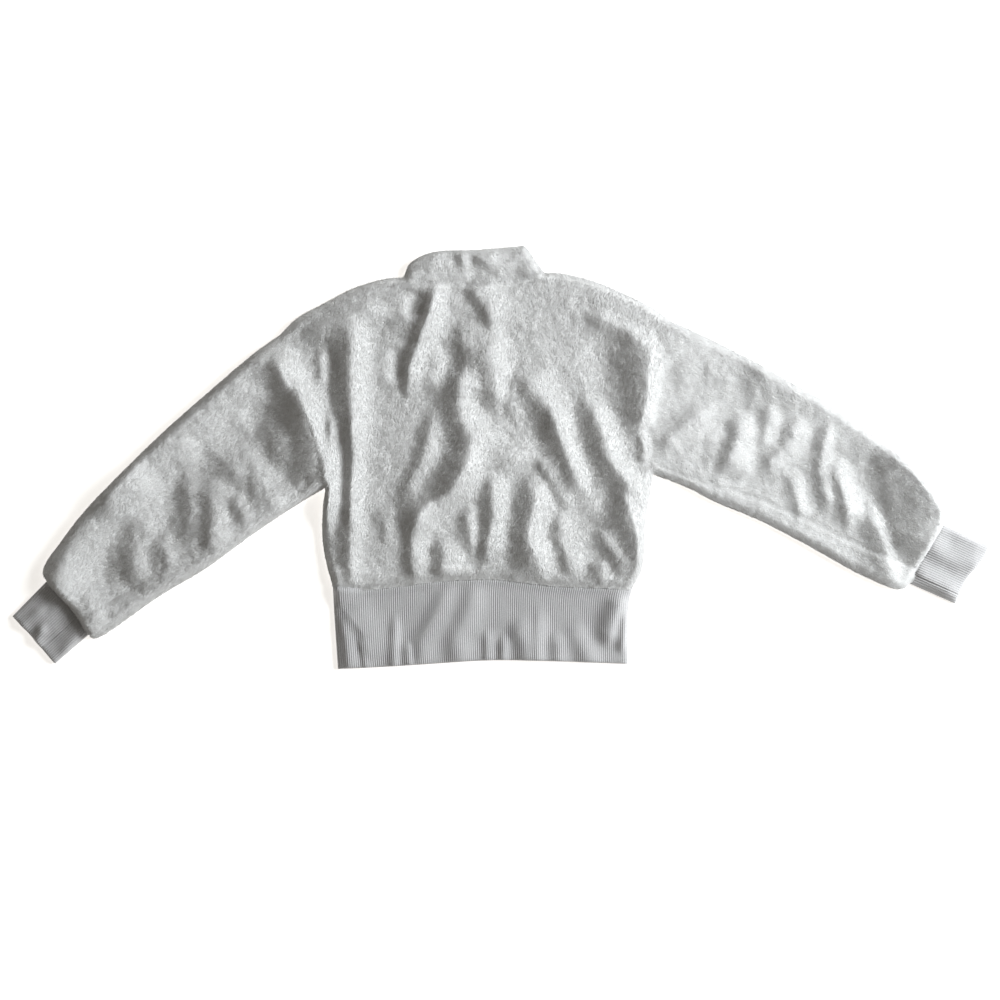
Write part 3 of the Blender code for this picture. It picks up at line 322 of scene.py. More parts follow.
RIGHT_SLEEVE_FOLDS = [
    ([(300, 74), (268, 56), (246, 36), (228, 16), (216, -6)], 4, 13, 17),
    ([(334, 62), (328, 38), (321, 14), (314, -8), (306, -30)], 5.4, 13, 22),
    ([(298, 40), (294, 24), (292, 8)], 1.2, 9, 9),
    ([(374, 76), (368, 50), (364, 26), (358, 4)], 2.4, 10, 14),
    ([(410, 62), (402, 36), (390, 12), (374, -6), (352, -28)], 4, 12, 18),
    ([(398, -20), (405, -46), (411, -70), (418, -92)], 3.2, 10, 14),
    ([(456, 56), (446, 24), (441, -4), (443, -34), (448, -60), (454, -90)], 4.2, 12, 12),
    ([(454, 2), (463, -24), (471, -52), (477, -78), (482, -106)], 5.8, 13, 16),
    ([(500, -56), (511, -88), (521, -112), (532, -146), (546, -190)], 5.4, 20, 12),
    ([(518, 24), (527, -12), (535, -46), (542, -82), (549, -118), (556, -150)], 3.8, 14, 46),
    ([(546, 36), (580, -16), (596, -48), (601, -76), (598, -98), (587, -124), (570, -162)], 18, 46, 11),
    ([(330, 134), (396, 100), (460, 63), (522, 20), (562, -16)], 6, 44, 12),
    ([(300, -30), (330, -38), (354, -46)], -1.5, 14, 14),
    ([(246, 136), (252, 112), (250, 88)], 1.4, 12, 14),
]
COLLAR_FOLDS = [
    ([(-56, 304), (-54, 284), (-51, 270), (-48, 256)], 3, 7, 8),
    ([(-26, 312), (-23, 290), (-23, 274), (-30, 256)], 4, 17, 22),
    ([(22, 254), (38, 252), (52, 250), (64, 249), (80, 244)], 1.8, 9, 8),
    ([(-96, 282), (-92, 268), (-92, 252)], 1.4, 14, 14),
]
HEM_FOLDS = [
    ([(-228, -140), (-220, -182), (-215, -214)], 5, 9, 26),
    ([(-219, -206), (-213, -236), (-209, -260), (-205, -310)], 3.6, 8, 15),
    ([(-222, -200), (-204, -218), (-190, -236), (-180, -258), (-170, -290)], 3.6, 10, 26),
    ([(-196, -246), (-188, -266), (-180, -310)], 1.8, 5, 8),
    ([(-143, -212), (-144, -245), (-146, -310)], 2.4, 8, 7),
    ([(-128, -250), (-126, -270), (-122, -310)], 2.2, 9, 6),
    ([(-62, -166), (-78, -200), (-94, -232), (-106, -260), (-110, -310)], 3.5, 13, 18),
    ([(-30, -160), (-38, -196), (-48, -226), (-58, -244), (-58, -264), (-52, -310)], 3.7, 16, 18),
    ([(-18, -232), (-17, -262), (-17, -310)], 1.8, 6, 10),
    ([(5, -240), (5, -265), (5, -310)], 2.6, 7, 8),
    ([(14, -222), (30, -244), (38, -266), (42, -310)], 5, 17, 22),
    ([(52, -200), (54, -230), (54, -310)], 1.8, 8, 12),
    ([(76, -236), (80, -260), (81, -310)], 4, 12, 14),
    ([(94, -224), (108, -250), (122, -280), (130, -310)], 3.8, 16, 18),
    ([(172, -180), (160, -212), (152, -236), (146, -268)], 6.5, 17, 11),
    ([(178, -206), (174, -236), (166, -276)], 3.4, 9, 8),
]
LEFT_CUFF_FOLDS = [
    ([(-586, -180), (-606, -204), (-622, -228), (-634, -254)], 3.6, 16, 30),
    ([(-570, -216), (-581, -240), (-590, -262), (-600, -286)], 3, 13, 9),
    ([(-622, -230), (-632, -246), (-644, -270)], 3, 7, 8),
    ([(-620, -200), (-638, -218), (-656, -232), (-672, -244)], 3, 8, 9),
]
RIGHT_CUFF_FOLDS = [
    ([(580, -100), (600, -128), (620, -142), (650, -148), (680, -156)], 4.2, 14, 18),
    ([(620, -104), (646, -116), (672, -126)], 1.6, 16, 8),
    ([(560, -150), (590, -168), (612, -181), (640, -196)], 4, 9, 16),
]


# Curves and panels

def smooth_curve(points, steps=16):
    """A rounded curve through the points, as a dense polyline."""
    points = np.array(points, float)
    before = 2 * points[0] - points[1]
    after = 2 * points[-1] - points[-2]
    ring = np.vstack([before, points, after])
    t = np.linspace(0, 1, steps, endpoint=False)[:, None]
    spans = []
    for a, b, c, d in zip(ring, ring[1:], ring[2:], ring[3:]):
        bend = 2 * b + (c - a) * t + (2 * a - 5 * b + 4 * c - d) * t ** 2
        spans.append((bend + (3 * b - a - 3 * c + d) * t ** 3) / 2)
    return np.vstack(spans + [points[-1:]])


def lengths_along(line):
    steps = np.hypot(*np.diff(line, axis=0).T)
    return np.concatenate([[0], np.cumsum(steps)])


def unit(vectors):
    return vectors / np.maximum(np.linalg.norm(vectors, axis=-1, keepdims=True), 1e-9)


def ease(share):
    """A share from 0 to 1 that starts and stops gently."""
    return share * share * (3 - 2 * share)


class Side:
    """One side of a panel: curves end to end, each with its share of 0 to 1."""

    def __init__(self, *parts):
        places, points, start = [], [], 0.0
        for curve, share in parts:
            line = smooth_curve(curve)
            along = lengths_along(line)
            places.append(start + share * along / along[-1])
            points.append(line)
            start += share
        self.places = np.concatenate(places)
        self.points = np.vstack(points)

    def at(self, places):
        x = np.interp(places, self.places, self.points[:, 0])
        y = np.interp(places, self.places, self.points[:, 1])
        return np.stack([x, y], axis=-1)


def whole(curve):
    return Side((curve, 1.0))


def part_of(curve, low, high):
    """The stretch of a curve between two values of x."""
    line = smooth_curve(curve)
    inside = line[(line[:, 0] > low) & (line[:, 0] < high)]
    ends = [value for value in (low, high) if line[:, 0].min() < value < line[:, 0].max()]
    order = np.argsort(line[:, 0])
    cuts = [(value, np.interp(value, line[order, 0], line[order, 1])) for value in ends]
    points = np.vstack([inside] + [np.array([cut]) for cut in cuts])
    return points[np.argsort(points[:, 0])]


def patch(bottom, top, left, right, across, up):
    """Plan points of a four-sided panel: a row for each value of up."""
    u = across[None, :, None]
    v = up[:, None, None]
    low, high = bottom.at(across)[None], top.at(across)[None]
    first, last = left.at(up)[:, None], right.at(up)[:, None]
    corners = (1 - v) * ((1 - u) * bottom.at(0) + u * bottom.at(1))
    corners = corners + v * ((1 - u) * top.at(0) + u * top.at(1))
    return (1 - v) * low + v * high + (1 - u) * first + u * last - corners


def tuck_in(plan, amount):
    """Lengthens a panel at its first row, so that it reaches under the seam there."""
    edge = plan[0]
    along = np.gradient(edge, axis=0)
    square = unit(np.stack([-along[:, 1], along[:, 0]], axis=-1))
    facing = np.sign(np.sum(square * (plan[1] - edge), axis=1))
    edge -= square * np.where(facing == 0, 1, facing)[:, None] * amount


def distance_to(lines, points):
    """Distance from each point to the nearest of several polylines."""
    flat = points.reshape(-1, 2)
    best = np.full(len(flat), 1e9)
    for line in lines:
        for start, end in zip(line[:-1], line[1:]):
            step = end - start
            reach = flat - start
            place = np.clip(reach @ step / max(step @ step, 1e-9), 0, 1)
            away = reach - place[:, None] * step
            best = np.minimum(best, np.einsum("ij,ij->i", away, away))
    return np.sqrt(best).reshape(points.shape[:-1])


Fold = namedtuple("Fold", "crest height left_slope right_slope")


def fold_lift(folds, points):
    """Height of the folds at each point: soft ridges and hollows, thin and low at their ends."""
    flat = points.reshape(-1, 2)
    total = np.zeros(len(flat))
    for fold in map(Fold._make, folds):
        line = smooth_curve(fold.crest, 5)
        reach_out = FOLD_REACH * max(fold.left_slope, fold.right_slope)
        low, high = line.min(axis=0) - reach_out, line.max(axis=0) + reach_out
        near = np.where(np.all((flat > low) & (flat < high), axis=1))[0]
        if not len(near):
            continue
        along = lengths_along(line)
        step = np.diff(line, axis=0)
        reach = flat[near][:, None] - line[None, :-1]
        place = np.clip(np.sum(reach * step, axis=2) / np.sum(step ** 2, axis=1), 0, 1)
        offset = reach - place[..., None] * step
        gap = np.linalg.norm(offset, axis=2)
        nearest = gap.argmin(axis=1)
        rows = np.arange(len(near))
        offset, gap, step = offset[rows, nearest], gap[rows, nearest], step[nearest]
        share = (along[nearest] + place[rows, nearest] * np.diff(along)[nearest]) / along[-1]
        end = min(END_SHARE, LONGEST_END / along[-1])
        taper = ease(np.clip(np.minimum(share, 1 - share) / end, 0, 1))
        right = step[:, 0] * offset[:, 1] - step[:, 1] * offset[:, 0] > 0
        slope = np.where(right, fold.right_slope, fold.left_slope) * (END_WIDTH[0] + END_WIDTH[1] * taper)
        total[near] += fold.height * taper * np.exp(-(gap / slope) ** CREST_SHARPNESS)
    return total.reshape(points.shape[:-1])


def quarter_round(distance, radius):
    """0 at an edge, rising as a quarter circle to 1 at the radius."""
    share = 1 - np.clip(distance / radius, 0, 1)
    return np.sqrt(np.maximum(1 - share ** 2, 0))


def soft_floor(values, lowest, blend=1.5):
    return (values + lowest + np.sqrt((values - lowest) ** 2 + blend ** 2)) / 2


def ripple(points, size, seed):
    """Smooth random values from -1 to 1 that change over a distance of size."""
    rng = np.random.default_rng(seed)
    lattice = rng.uniform(-1, 1, (256, 256))
    place = points / size + 128
    cell = np.floor(place).astype(int)
    part = ease(place - cell)
    column, row = cell[..., 0] % 255, cell[..., 1] % 255
    low = lattice[row, column] * (1 - part[..., 0]) + lattice[row, column + 1] * part[..., 0]
    high = lattice[row + 1, column] * (1 - part[..., 0]) + lattice[row + 1, column + 1] * part[..., 0]
    return low * (1 - part[..., 1]) + high * part[..., 1]


def seam_lines(*curves):
    return [smooth_curve(curve, 6) for curve in curves]


FREE_EDGES = seam_lines(SIDE_LEFT, SIDE_RIGHT, SHOULDER_LEFT, SHOULDER_RIGHT, SLEEVE_LEFT_TOP,
                        SLEEVE_LEFT_UNDER, SLEEVE_RIGHT_TOP, SLEEVE_RIGHT_UNDER, COLLAR_LEFT, COLLAR_TOP,
                        COLLAR_RIGHT)
SEAMS = seam_lines(HEM_SEAM, CUFF_SEAM_LEFT, CUFF_SEAM_RIGHT)
CUFF_SEAMS = SEAMS[1:]
ARMHOLE_SEAMS = seam_lines(ARMHOLE_LEFT, ARMHOLE_RIGHT, BACK_NECK)
UNDERARM_SEAMS = seam_lines(UNDERARM_SEAM_LEFT, UNDERARM_SEAM_RIGHT)
SEWN_LINES = ((SEAMS, SEAM_DIP, SEAM_DIP_WIDTH), (ARMHOLE_SEAMS, ARMHOLE_DIP, ARMHOLE_DIP_WIDTH),
              (UNDERARM_SEAMS, UNDERARM_DIP, UNDERARM_DIP_WIDTH))
FLEECE_FOLDS = BACK_FOLDS + LEFT_SLEEVE_FOLDS + RIGHT_SLEEVE_FOLDS + COLLAR_FOLDS


def fleece_top(plan):
    """Height of the pile's surface on the side that shows."""
    dip = sum(deep * np.exp(-(distance_to(lines, plan) / width) ** 2) for lines, deep, width in SEWN_LINES)
    waves = sum(height * ripple(plan, size, seed) for size, height, seed in FLEECE_WAVES)
    level = soft_floor(FLEECE_TOP + fold_lift(FLEECE_FOLDS, plan) + waves - dip, FLEECE_LOW)
    level = CUFF_MOUTH + (level - CUFF_MOUTH) * quarter_round(distance_to(CUFF_SEAMS, plan), CUFF_GATHER)
    roll = quarter_round(distance_to(FREE_EDGES, plan), EDGE_ROLL)
    return FLEECE_MIDDLE + (level - FLEECE_MIDDLE) * roll


def fleece_under(plan):
    """Height of the side that rests: flat, and rounded up at the outline."""
    edge = distance_to(FREE_EDGES, plan)
    return FLEECE_WALL * (1 - quarter_round(edge, UNDER_ROLL))


def rolled_places(length, radius, spacing, roll_cells=8):
    """Places from 0 to 1 along a length: closer together where its two edges roll over."""
    turn = np.linspace(0, math.pi / 2, roll_cells + 1)
    edge = radius * (1 - np.cos(turn)) / length
    cells = max(int(round((length - 2 * radius) / spacing)), 2)
    middle = np.linspace(edge[-1], 1 - edge[-1], cells + 1)
    return np.concatenate([edge[:-1], middle, 1 - edge[:-1][::-1]])


def with_height(plan, height):
    return np.concatenate([plan, np.broadcast_to(height, plan.shape[:-1])[..., None]], axis=-1)


def grid_normals(points, closed=False):
    """Unit normals of a grid of points, upwards where the grid runs left to right and up."""
    if closed:
        ring = np.concatenate([points[:, -1:], points, points[:, :1]], axis=1)
        across = ring[:, 2:] - ring[:, :-2]
    else:
        across = np.gradient(points, axis=1)
    return unit(np.cross(across, np.gradient(points, axis=0)))


def facing_up(normals, column):
    """The normals, all turned round if the one halfway up this column points down."""
    return -normals if normals[len(normals) // 2, column, 2] < 0 else normals


# Mesh making

def grid_triangles(index):
    a, b = index[:-1, :-1], index[:-1, 1:]
    c, d = index[1:, 1:], index[1:, :-1]
    return np.concatenate([np.stack([a, b, c], -1).reshape(-1, 3),
                           np.stack([a, c, d], -1).reshape(-1, 3)])


def bridge_loops(first, second):
    """Triangles between two loops of (place, vertex) pairs that run alongside each other."""
    faces, i, j = [], 0, 0
    while i < len(first) - 1 or j < len(second) - 1:
        take_first = j == len(second) - 1
        if i < len(first) - 1 and j < len(second) - 1:
            take_first = first[i + 1][0] <= second[j + 1][0]
        if take_first:
            faces.append((first[i][1], first[i + 1][1], second[j][1]))
            i += 1
        else:
            faces.append((first[i][1], second[j + 1][1], second[j][1]))
            j += 1
    return faces


def border(index, across, up):
    """Vertices round a grid, each with its place from 0 to 4."""
    bottom = [(u, v) for u, v in zip(across, index[0])]
    right = [(1 + u, v) for u, v in zip(up, index[:, -1])]
    top = [(3 - u, v) for u, v in zip(across[::-1], index[-1, ::-1])]
    left = [(4 - u, v) for u, v in zip(up[::-1], index[::-1, 0])]
    return bottom[:-1] + right[:-1] + top[:-1] + left


def mesh_object(name, points, triangles, material, smooth=True):
    """A new object from arrays of points in millimetres and of triangles."""
    mesh = bpy.data.meshes.new(name)
    mesh.vertices.add(len(points))
    mesh.vertices.foreach_set("co", (np.asarray(points) * MM).astype(np.float32).ravel())
    mesh.loops.add(3 * len(triangles))
    mesh.loops.foreach_set("vertex_index", np.asarray(triangles, np.int32).ravel())
    mesh.polygons.add(len(triangles))
    mesh.polygons.foreach_set("loop_start", np.arange(0, 3 * len(triangles), 3, dtype=np.int32))
    mesh.update(calc_edges=True)
    mesh.validate()
    if smooth:
        mesh.shade_smooth()
    mesh.materials.append(material)
    piece = bpy.data.objects.new(name, mesh)
    bpy.context.collection.objects.link(piece)
    return piece


def close_and_turn_out(piece):
    """Makes the faces of a closed piece point out."""
    shape = bmesh.new()
    shape.from_mesh(piece.data)
    bmesh.ops.recalc_face_normals(shape, faces=shape.faces)
    if shape.calc_volume(signed=True) < 0:
        bmesh.ops.reverse_faces(shape, faces=shape.faces)
    shape.to_mesh(piece.data)
    shape.free()
    return piece


def deepen_shading(piece):
    """Tilts the shading of a cloth's slopes, as the soft pile does where it parts on a fold."""
    mesh = piece.data
    normals = np.empty(3 * len(mesh.vertices), np.float32)
    mesh.vertex_normals.foreach_get("vector", normals)
    mesh.normals_split_custom_set_from_vertices(tilted_more(normals.reshape(-1, 3)))


def tilted_more(normals):
    """Leans the shading of gentle slopes further out, and never past the steepest allowed."""
    slope = np.linalg.norm(normals[:, :2], axis=1) / np.maximum(np.abs(normals[:, 2]), 1e-6)
    gain = SHADING_RELIEF / np.sqrt(1 + (SHADING_RELIEF * slope / STEEPEST_SHADING) ** 2)
    leaned = unit(normals * np.stack([gain, gain, np.ones_like(gain)], axis=1))
    share = np.clip((normals[:, 2] - LOWEST_LEANED) / LOWEST_LEANED, 0, 1)[:, None]
    return unit(share * leaned + (1 - share) * normals)


def two_skins(outer, inner):
    """Vertex numbers of an outer and an inner grid, and the points of both."""
    outer_index = np.arange(outer.shape[0] * outer.shape[1]).reshape(outer.shape[:2])
    inner_index = np.arange(inner.shape[0] * inner.shape[1]).reshape(inner.shape[:2])
    points = np.vstack([outer.reshape(-1, 3), inner.reshape(-1, 3)])
    return outer_index, inner_index + outer_index.size, points


def wall_object(name, outer, outer_places, inner, inner_places, material):
    """A closed wall between two grids."""
    outer_index, inner_index, points = two_skins(outer, inner)
    rim = bridge_loops(border(outer_index, *outer_places), border(inner_index, *inner_places))
    triangles = np.concatenate([grid_triangles(outer_index), grid_triangles(inner_index)[:, ::-1],
                                np.array(rim)[:, ::-1]])
    return close_and_turn_out(mesh_object(name, points, triangles, material))


def tube_object(name, outer, outer_places, inner, inner_places, material):
    """A wall that goes all round, open at its first and its last row."""
    outer_index, inner_index, points = two_skins(outer, inner)
    outer_index = np.hstack([outer_index, outer_index[:, :1]])
    inner_index = np.hstack([inner_index, inner_index[:, :1]])
    parts = [grid_triangles(outer_index), grid_triangles(inner_index)[:, ::-1]]
    for row, turn in ((0, -1), (-1, 1)):
        loop = list(zip(outer_places, outer_index[row]))
        hole = list(zip(inner_places, inner_index[row]))
        parts.append(np.array(bridge_loops(loop, hole))[:, ::turn])
    return close_and_turn_out(mesh_object(name, points, np.concatenate(parts), material))


# Materials

def fill_inputs(node, values):
    for name, value in values.items():
        node.inputs[name].default_value = value


def new_material(name, colour, roughness, more):
    material = bpy.data.materials.new(name)
    material.use_nodes = True
    shader = material.node_tree.nodes["Principled BSDF"]
    fill_inputs(shader, {"Base Color": (*colour, 1), "Roughness": roughness, **more})
    return material, shader


NOISE = "ShaderNodeTexNoise"
WAVE = "ShaderNodeTexWave"
RAMP_STOPS = (0.35, 0.65)
PILE_DARK = (0.76, 0.755, 0.745)
PILE_LIGHT = (0.84, 0.84, 0.835)
# The knit's colours are darker than the pile's: partly its own tone, partly painted shade standing in for
# the shade in its ribs' grooves.
RIB_DARK = (0.50, 0.495, 0.50)
RIB_LIGHT = (0.61, 0.605, 0.61)

# A texture runs each colour from dark to light. A bump is its strength and its depth in metres
Finish = namedtuple("Finish", "name colour roughness dark light texture grain bump more")
FINISHES = [
    Finish("fleece_cloth", PILE_DARK, 0.95, PILE_DARK, PILE_LIGHT, NOISE, {"Scale": 420, "Detail": 4},
           (0.8, 0.0015), {"Sheen Weight": 0.2}),
    Finish("fleece_pile", PILE_LIGHT, 0.85, PILE_DARK, PILE_LIGHT, NOISE, {"Scale": 130, "Detail": 2}, None,
           {"Sheen Weight": 0.25, "Sheen Roughness": 0.4, "Specular IOR Level": 0.3}),
    Finish("rib_knit", RIB_LIGHT, 0.8, RIB_DARK, RIB_LIGHT, NOISE, {"Scale": 700, "Detail": 3},
           (0.5, 0.0004), {"Sheen Weight": 0.15, "Specular IOR Level": 0.3}),
    Finish("zip_tape", (0.62, 0.60, 0.57), 0.8, (0.55, 0.53, 0.50), (0.66, 0.64, 0.61), WAVE,
           {"Scale": 500}, (0.5, 0.0002), {}),
    Finish("zip_metal", (0.62, 0.62, 0.60), 0.35, (0.50, 0.50, 0.49), (0.66, 0.66, 0.64), NOISE,
           {"Scale": 900, "Detail": 3}, (0.15, 0.0001), {"Metallic": 1.0}),
    Finish("thread", (0.72, 0.70, 0.67), 0.7, (0.62, 0.60, 0.57), (0.76, 0.74, 0.71), NOISE,
           {"Scale": 1500, "Detail": 2}, (0.4, 0.0001), {}),
]


def make_material(finish):
    material, shader = new_material(finish.name, finish.colour, finish.roughness, finish.more)
    nodes, links = material.node_tree.nodes, material.node_tree.links
    place, texture = nodes.new("ShaderNodeTexCoord"), nodes.new(finish.texture)
    fill_inputs(texture, finish.grain)
    links.new(place.outputs["Object"], texture.inputs["Vector"])
    ramp = nodes.new("ShaderNodeValToRGB")
    for stop, position, colour in zip(ramp.color_ramp.elements, RAMP_STOPS, (finish.dark, finish.light)):
        stop.position = position
        stop.color = (*colour, 1)
    links.new(texture.outputs["Fac"], ramp.inputs["Fac"])
    links.new(ramp.outputs["Color"], shader.inputs["Base Color"])
    if finish.bump:
        bump = nodes.new("ShaderNodeBump")
        fill_inputs(bump, dict(zip(("Strength", "Distance"), finish.bump)))
        links.new(texture.outputs["Fac"], bump.inputs["Height"])
        links.new(bump.outputs["Normal"], shader.inputs["Normal"])
    return material


# Pile

def interpolate(grid, row, column):
    """Values of a grid of vectors at fractional rows and columns."""
    low_row, low_column = row.astype(int), column.astype(int)
    v, u = (row - low_row)[:, None], (column - low_column)[:, None]
    first = grid[low_row, low_column] * (1 - u) + grid[low_row, low_column + 1] * u
    second = grid[low_row + 1, low_column] * (1 - u) + grid[low_row + 1, low_column + 1] * u
    return first * (1 - v) + second * v


def cell_areas(grid):
    across = grid[:-1, 1:] - grid[:-1, :-1]
    up = grid[1:, :-1] - grid[:-1, :-1]
    return np.linalg.norm(np.cross(across, up), axis=-1)


def scatter_on(grid, count, rng, weight):
    """Fractional rows and columns, even over a grid's area times a weight."""
    area = cell_areas(grid) * weight
    share = np.cumsum(area.ravel())
    cell = np.searchsorted(share, rng.uniform(0, share[-1], count))
    cell = np.minimum(cell, area.size - 1)
    row, column = np.divmod(cell, area.shape[1])
    return row + rng.uniform(0, 0.999, count), column + rng.uniform(0, 0.999, count)


def grow_pile(name, base, normals, depth, nap, count, seed, material, weight=1.0):
    """Closed spikes that stand on a grid of cloth points and lie along the nap."""
    rng = np.random.default_rng(seed)
    row, column = scatter_on(base, count, rng, weight)
    root = interpolate(base, row, column)
    normal = unit(interpolate(normals, row, column))
    rise = interpolate(depth[..., None], row, column)[:, 0]
    flow = interpolate(nap, row, column)
    swirl = sum(turn * ripple(root[:, :2], size, seed + more)
                for more, (turn, size) in enumerate(PILE_SWIRLS, 1))
    swirl += rng.normal(0, PILE_SPREAD, count)
    turned = np.stack([flow[:, 0] * np.cos(swirl) - flow[:, 1] * np.sin(swirl),
                       flow[:, 0] * np.sin(swirl) + flow[:, 1] * np.cos(swirl),
                       flow[:, 2]], axis=1)
    along = unit(turned - normal * np.sum(turned * normal, axis=1)[:, None])
    length = rng.uniform(*PILE_LENGTHS, count) * PILE_LENGTH
    length = np.minimum(length, TRIMMED_PILE + distance_to(SEAMS, root[:, :2]))
    lift = np.minimum(rise * rng.uniform(*PILE_LIFTS, count), length / 2)
    reach = np.sqrt(np.maximum(length ** 2 - lift ** 2, 1))
    tip = root + along * reach[:, None] + normal * lift[:, None]
    side = np.cross(normal, along)
    width = rng.uniform(*PILE_WIDTHS, count)[:, None] * PILE_WIDTH
    low = root + normal * PILE_ROOT
    heel = low + normal * PILE_THICKNESS - along * width
    points = np.stack([low - side * width / 2, low + side * width / 2, heel, tip], axis=1).reshape(-1, 3)
    points[:, 2] = np.maximum(points[:, 2], 0.0)
    start = np.arange(count)[:, None] * 4
    faces = np.array([(0, 2, 1), (0, 1, 3), (1, 2, 3), (2, 0, 3)])
    triangles = (start[:, :, None] + faces[None]).reshape(-1, 3)
    piece = mesh_object(name, points, triangles, material)
    facing = unit(tilted_more(normal) + rng.normal(0, PILE_TILT, (count, 3)))
    piece.data.normals_split_custom_set_from_vertices(np.repeat(facing, 4, axis=0))
    return piece


def depth_for(normals):
    """Pile depth: full where the cloth faces up or out, thin where it lies pressed below."""
    share = np.clip((normals[..., 2] - PRESSED_SLOPE) / PRESSED_FADE, 0, 1)
    return PRESSED_DEPTH + (PILE_DEPTH - PRESSED_DEPTH) * ease(share)


def outward_nap(plan, amount):
    """Turns the pile outward along a panel's two sides and its top, so that it covers the seams."""
    turn = np.zeros(plan.shape[:2] + (3,))
    for edge, inner in ((plan[:, :1], plan[:, 3:4]), (plan[:, -1:], plan[:, -4:-3]),
                        (plan[-1:], plan[-4:-3])):
        way = unit(edge - inner)
        near = np.exp(-(np.linalg.norm(plan - edge, axis=-1) / OUTWARD_REACH) ** 2)
        turn[..., :2] += amount * near[..., None] * way
    return turn


GRID_SPACING = 2.8
UNDER_SPACING = 2 * GRID_SPACING
PILE_AREA = 3.6


def pile_count(grid):
    return int(cell_areas(grid).sum() / PILE_AREA)


def dress(piece, node):
    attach(piece, BODY)
    if node:
        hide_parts(node)


def dress_cloth(piece, node, piles=()):
    """Dresses the garment in a cloth and its pile."""
    dress(piece, node)
    for pile in piles:
        dress(pile, None)


def make_back(cloth, pile):
    across = rolled_places(BACK_WIDTH, EDGE_ROLL, GRID_SPACING)
    up = rolled_places(BODY_HEIGHT, EDGE_ROLL, GRID_SPACING)
    top = Side((SHOULDER_LEFT, SHOULDER_SHARE), (BACK_NECK, 1 - 2 * SHOULDER_SHARE),
               (SHOULDER_RIGHT, SHOULDER_SHARE))
    left = Side((SIDE_LEFT, SIDE_SHARE), (ARMHOLE_LEFT, 1 - SIDE_SHARE))
    right = Side((SIDE_RIGHT, SIDE_SHARE), (ARMHOLE_RIGHT, 1 - SIDE_SHARE))
    plan = patch(whole(HEM_SEAM), top, left, right, across, up)
    surface = with_height(plan, fleece_top(plan))
    normals = grid_normals(surface)
    outer = surface - normals * PILE_DEPTH
    outer[..., 2] = np.maximum(outer[..., 2], FLEECE_REST + CLOTH_WALL)
    inner = outer.copy()
    inner[..., 2] = np.maximum(outer[..., 2] - CLOTH_WALL, FLEECE_REST)
    piece = wall_object("back_cloth", outer, (across, up), inner, (across, up), cloth)
    deepen_shading(piece)
    nap = np.broadcast_to(BACK_NAP, outer.shape) + outward_nap(plan, BACK_OUTWARD)
    depth = np.full(outer.shape[:2], PILE_DEPTH)
    half = outer.shape[1] // 2
    piles = []
    for name, columns, seed in (("left", slice(0, half + 1), 11), ("right", slice(half, None), 12)):
        grid = outer[:, columns]
        piles.append(grow_pile("back_pile_" + name, grid, normals[:, columns], depth[:, columns],
                               nap[:, columns], pile_count(grid), seed, pile))
    dress_cloth(piece, "back", piles)


def make_front(name, left_side, cloth, pile, seed):
    """One front, flat on the surface, from the side seam to the zip's channel."""
    across = rolled_places(FRONT_WIDTH, UNDER_ROLL, UNDER_SPACING, roll_cells=3)
    up = rolled_places(BODY_HEIGHT, UNDER_ROLL, UNDER_SPACING, roll_cells=3)
    if left_side:
        reach, stop = CHANNEL_REACH["left"], -1
        shoulder, side, armhole = SHOULDER_LEFT, SIDE_LEFT, ARMHOLE_LEFT
    else:
        reach, stop = CHANNEL_REACH["right"], 0
        shoulder, side, armhole = SHOULDER_RIGHT, SIDE_RIGHT, ARMHOLE_RIGHT
    hem, neck = part_of(HEM_SEAM, *reach), part_of(FRONT_NECK, *reach)
    channel = whole(np.array([hem[stop], neck[stop]]))
    sides = [Side((side, SIDE_SHARE), (armhole, 1 - SIDE_SHARE)), channel]
    top = [(shoulder, 0.5), (neck, 0.5)]
    if not left_side:
        sides, top = sides[::-1], top[::-1]
    plan = patch(whole(hem), Side(*top), *sides, across, up)
    surface = with_height(plan, np.minimum(fleece_under(plan), FLEECE_WALL - RIM))
    normals = -grid_normals(surface)
    depth = depth_for(normals)
    outer = surface - normals * depth[..., None]
    outer[..., 2] = np.minimum(outer[..., 2], FLEECE_WALL - CLOTH_WALL)
    inner = outer.copy()
    inner[..., 2] = FLEECE_WALL
    piece = wall_object(name + "_cloth", outer, (across, up), inner, (across, up), cloth)
    nap = np.broadcast_to(FRONT_NAP, outer.shape)
    pile_piece = grow_pile(name + "_pile", outer, normals, depth, nap, pile_count(outer) // FRONT_THINNING,
                           seed, pile)
    dress_cloth(piece, name, [pile_piece])


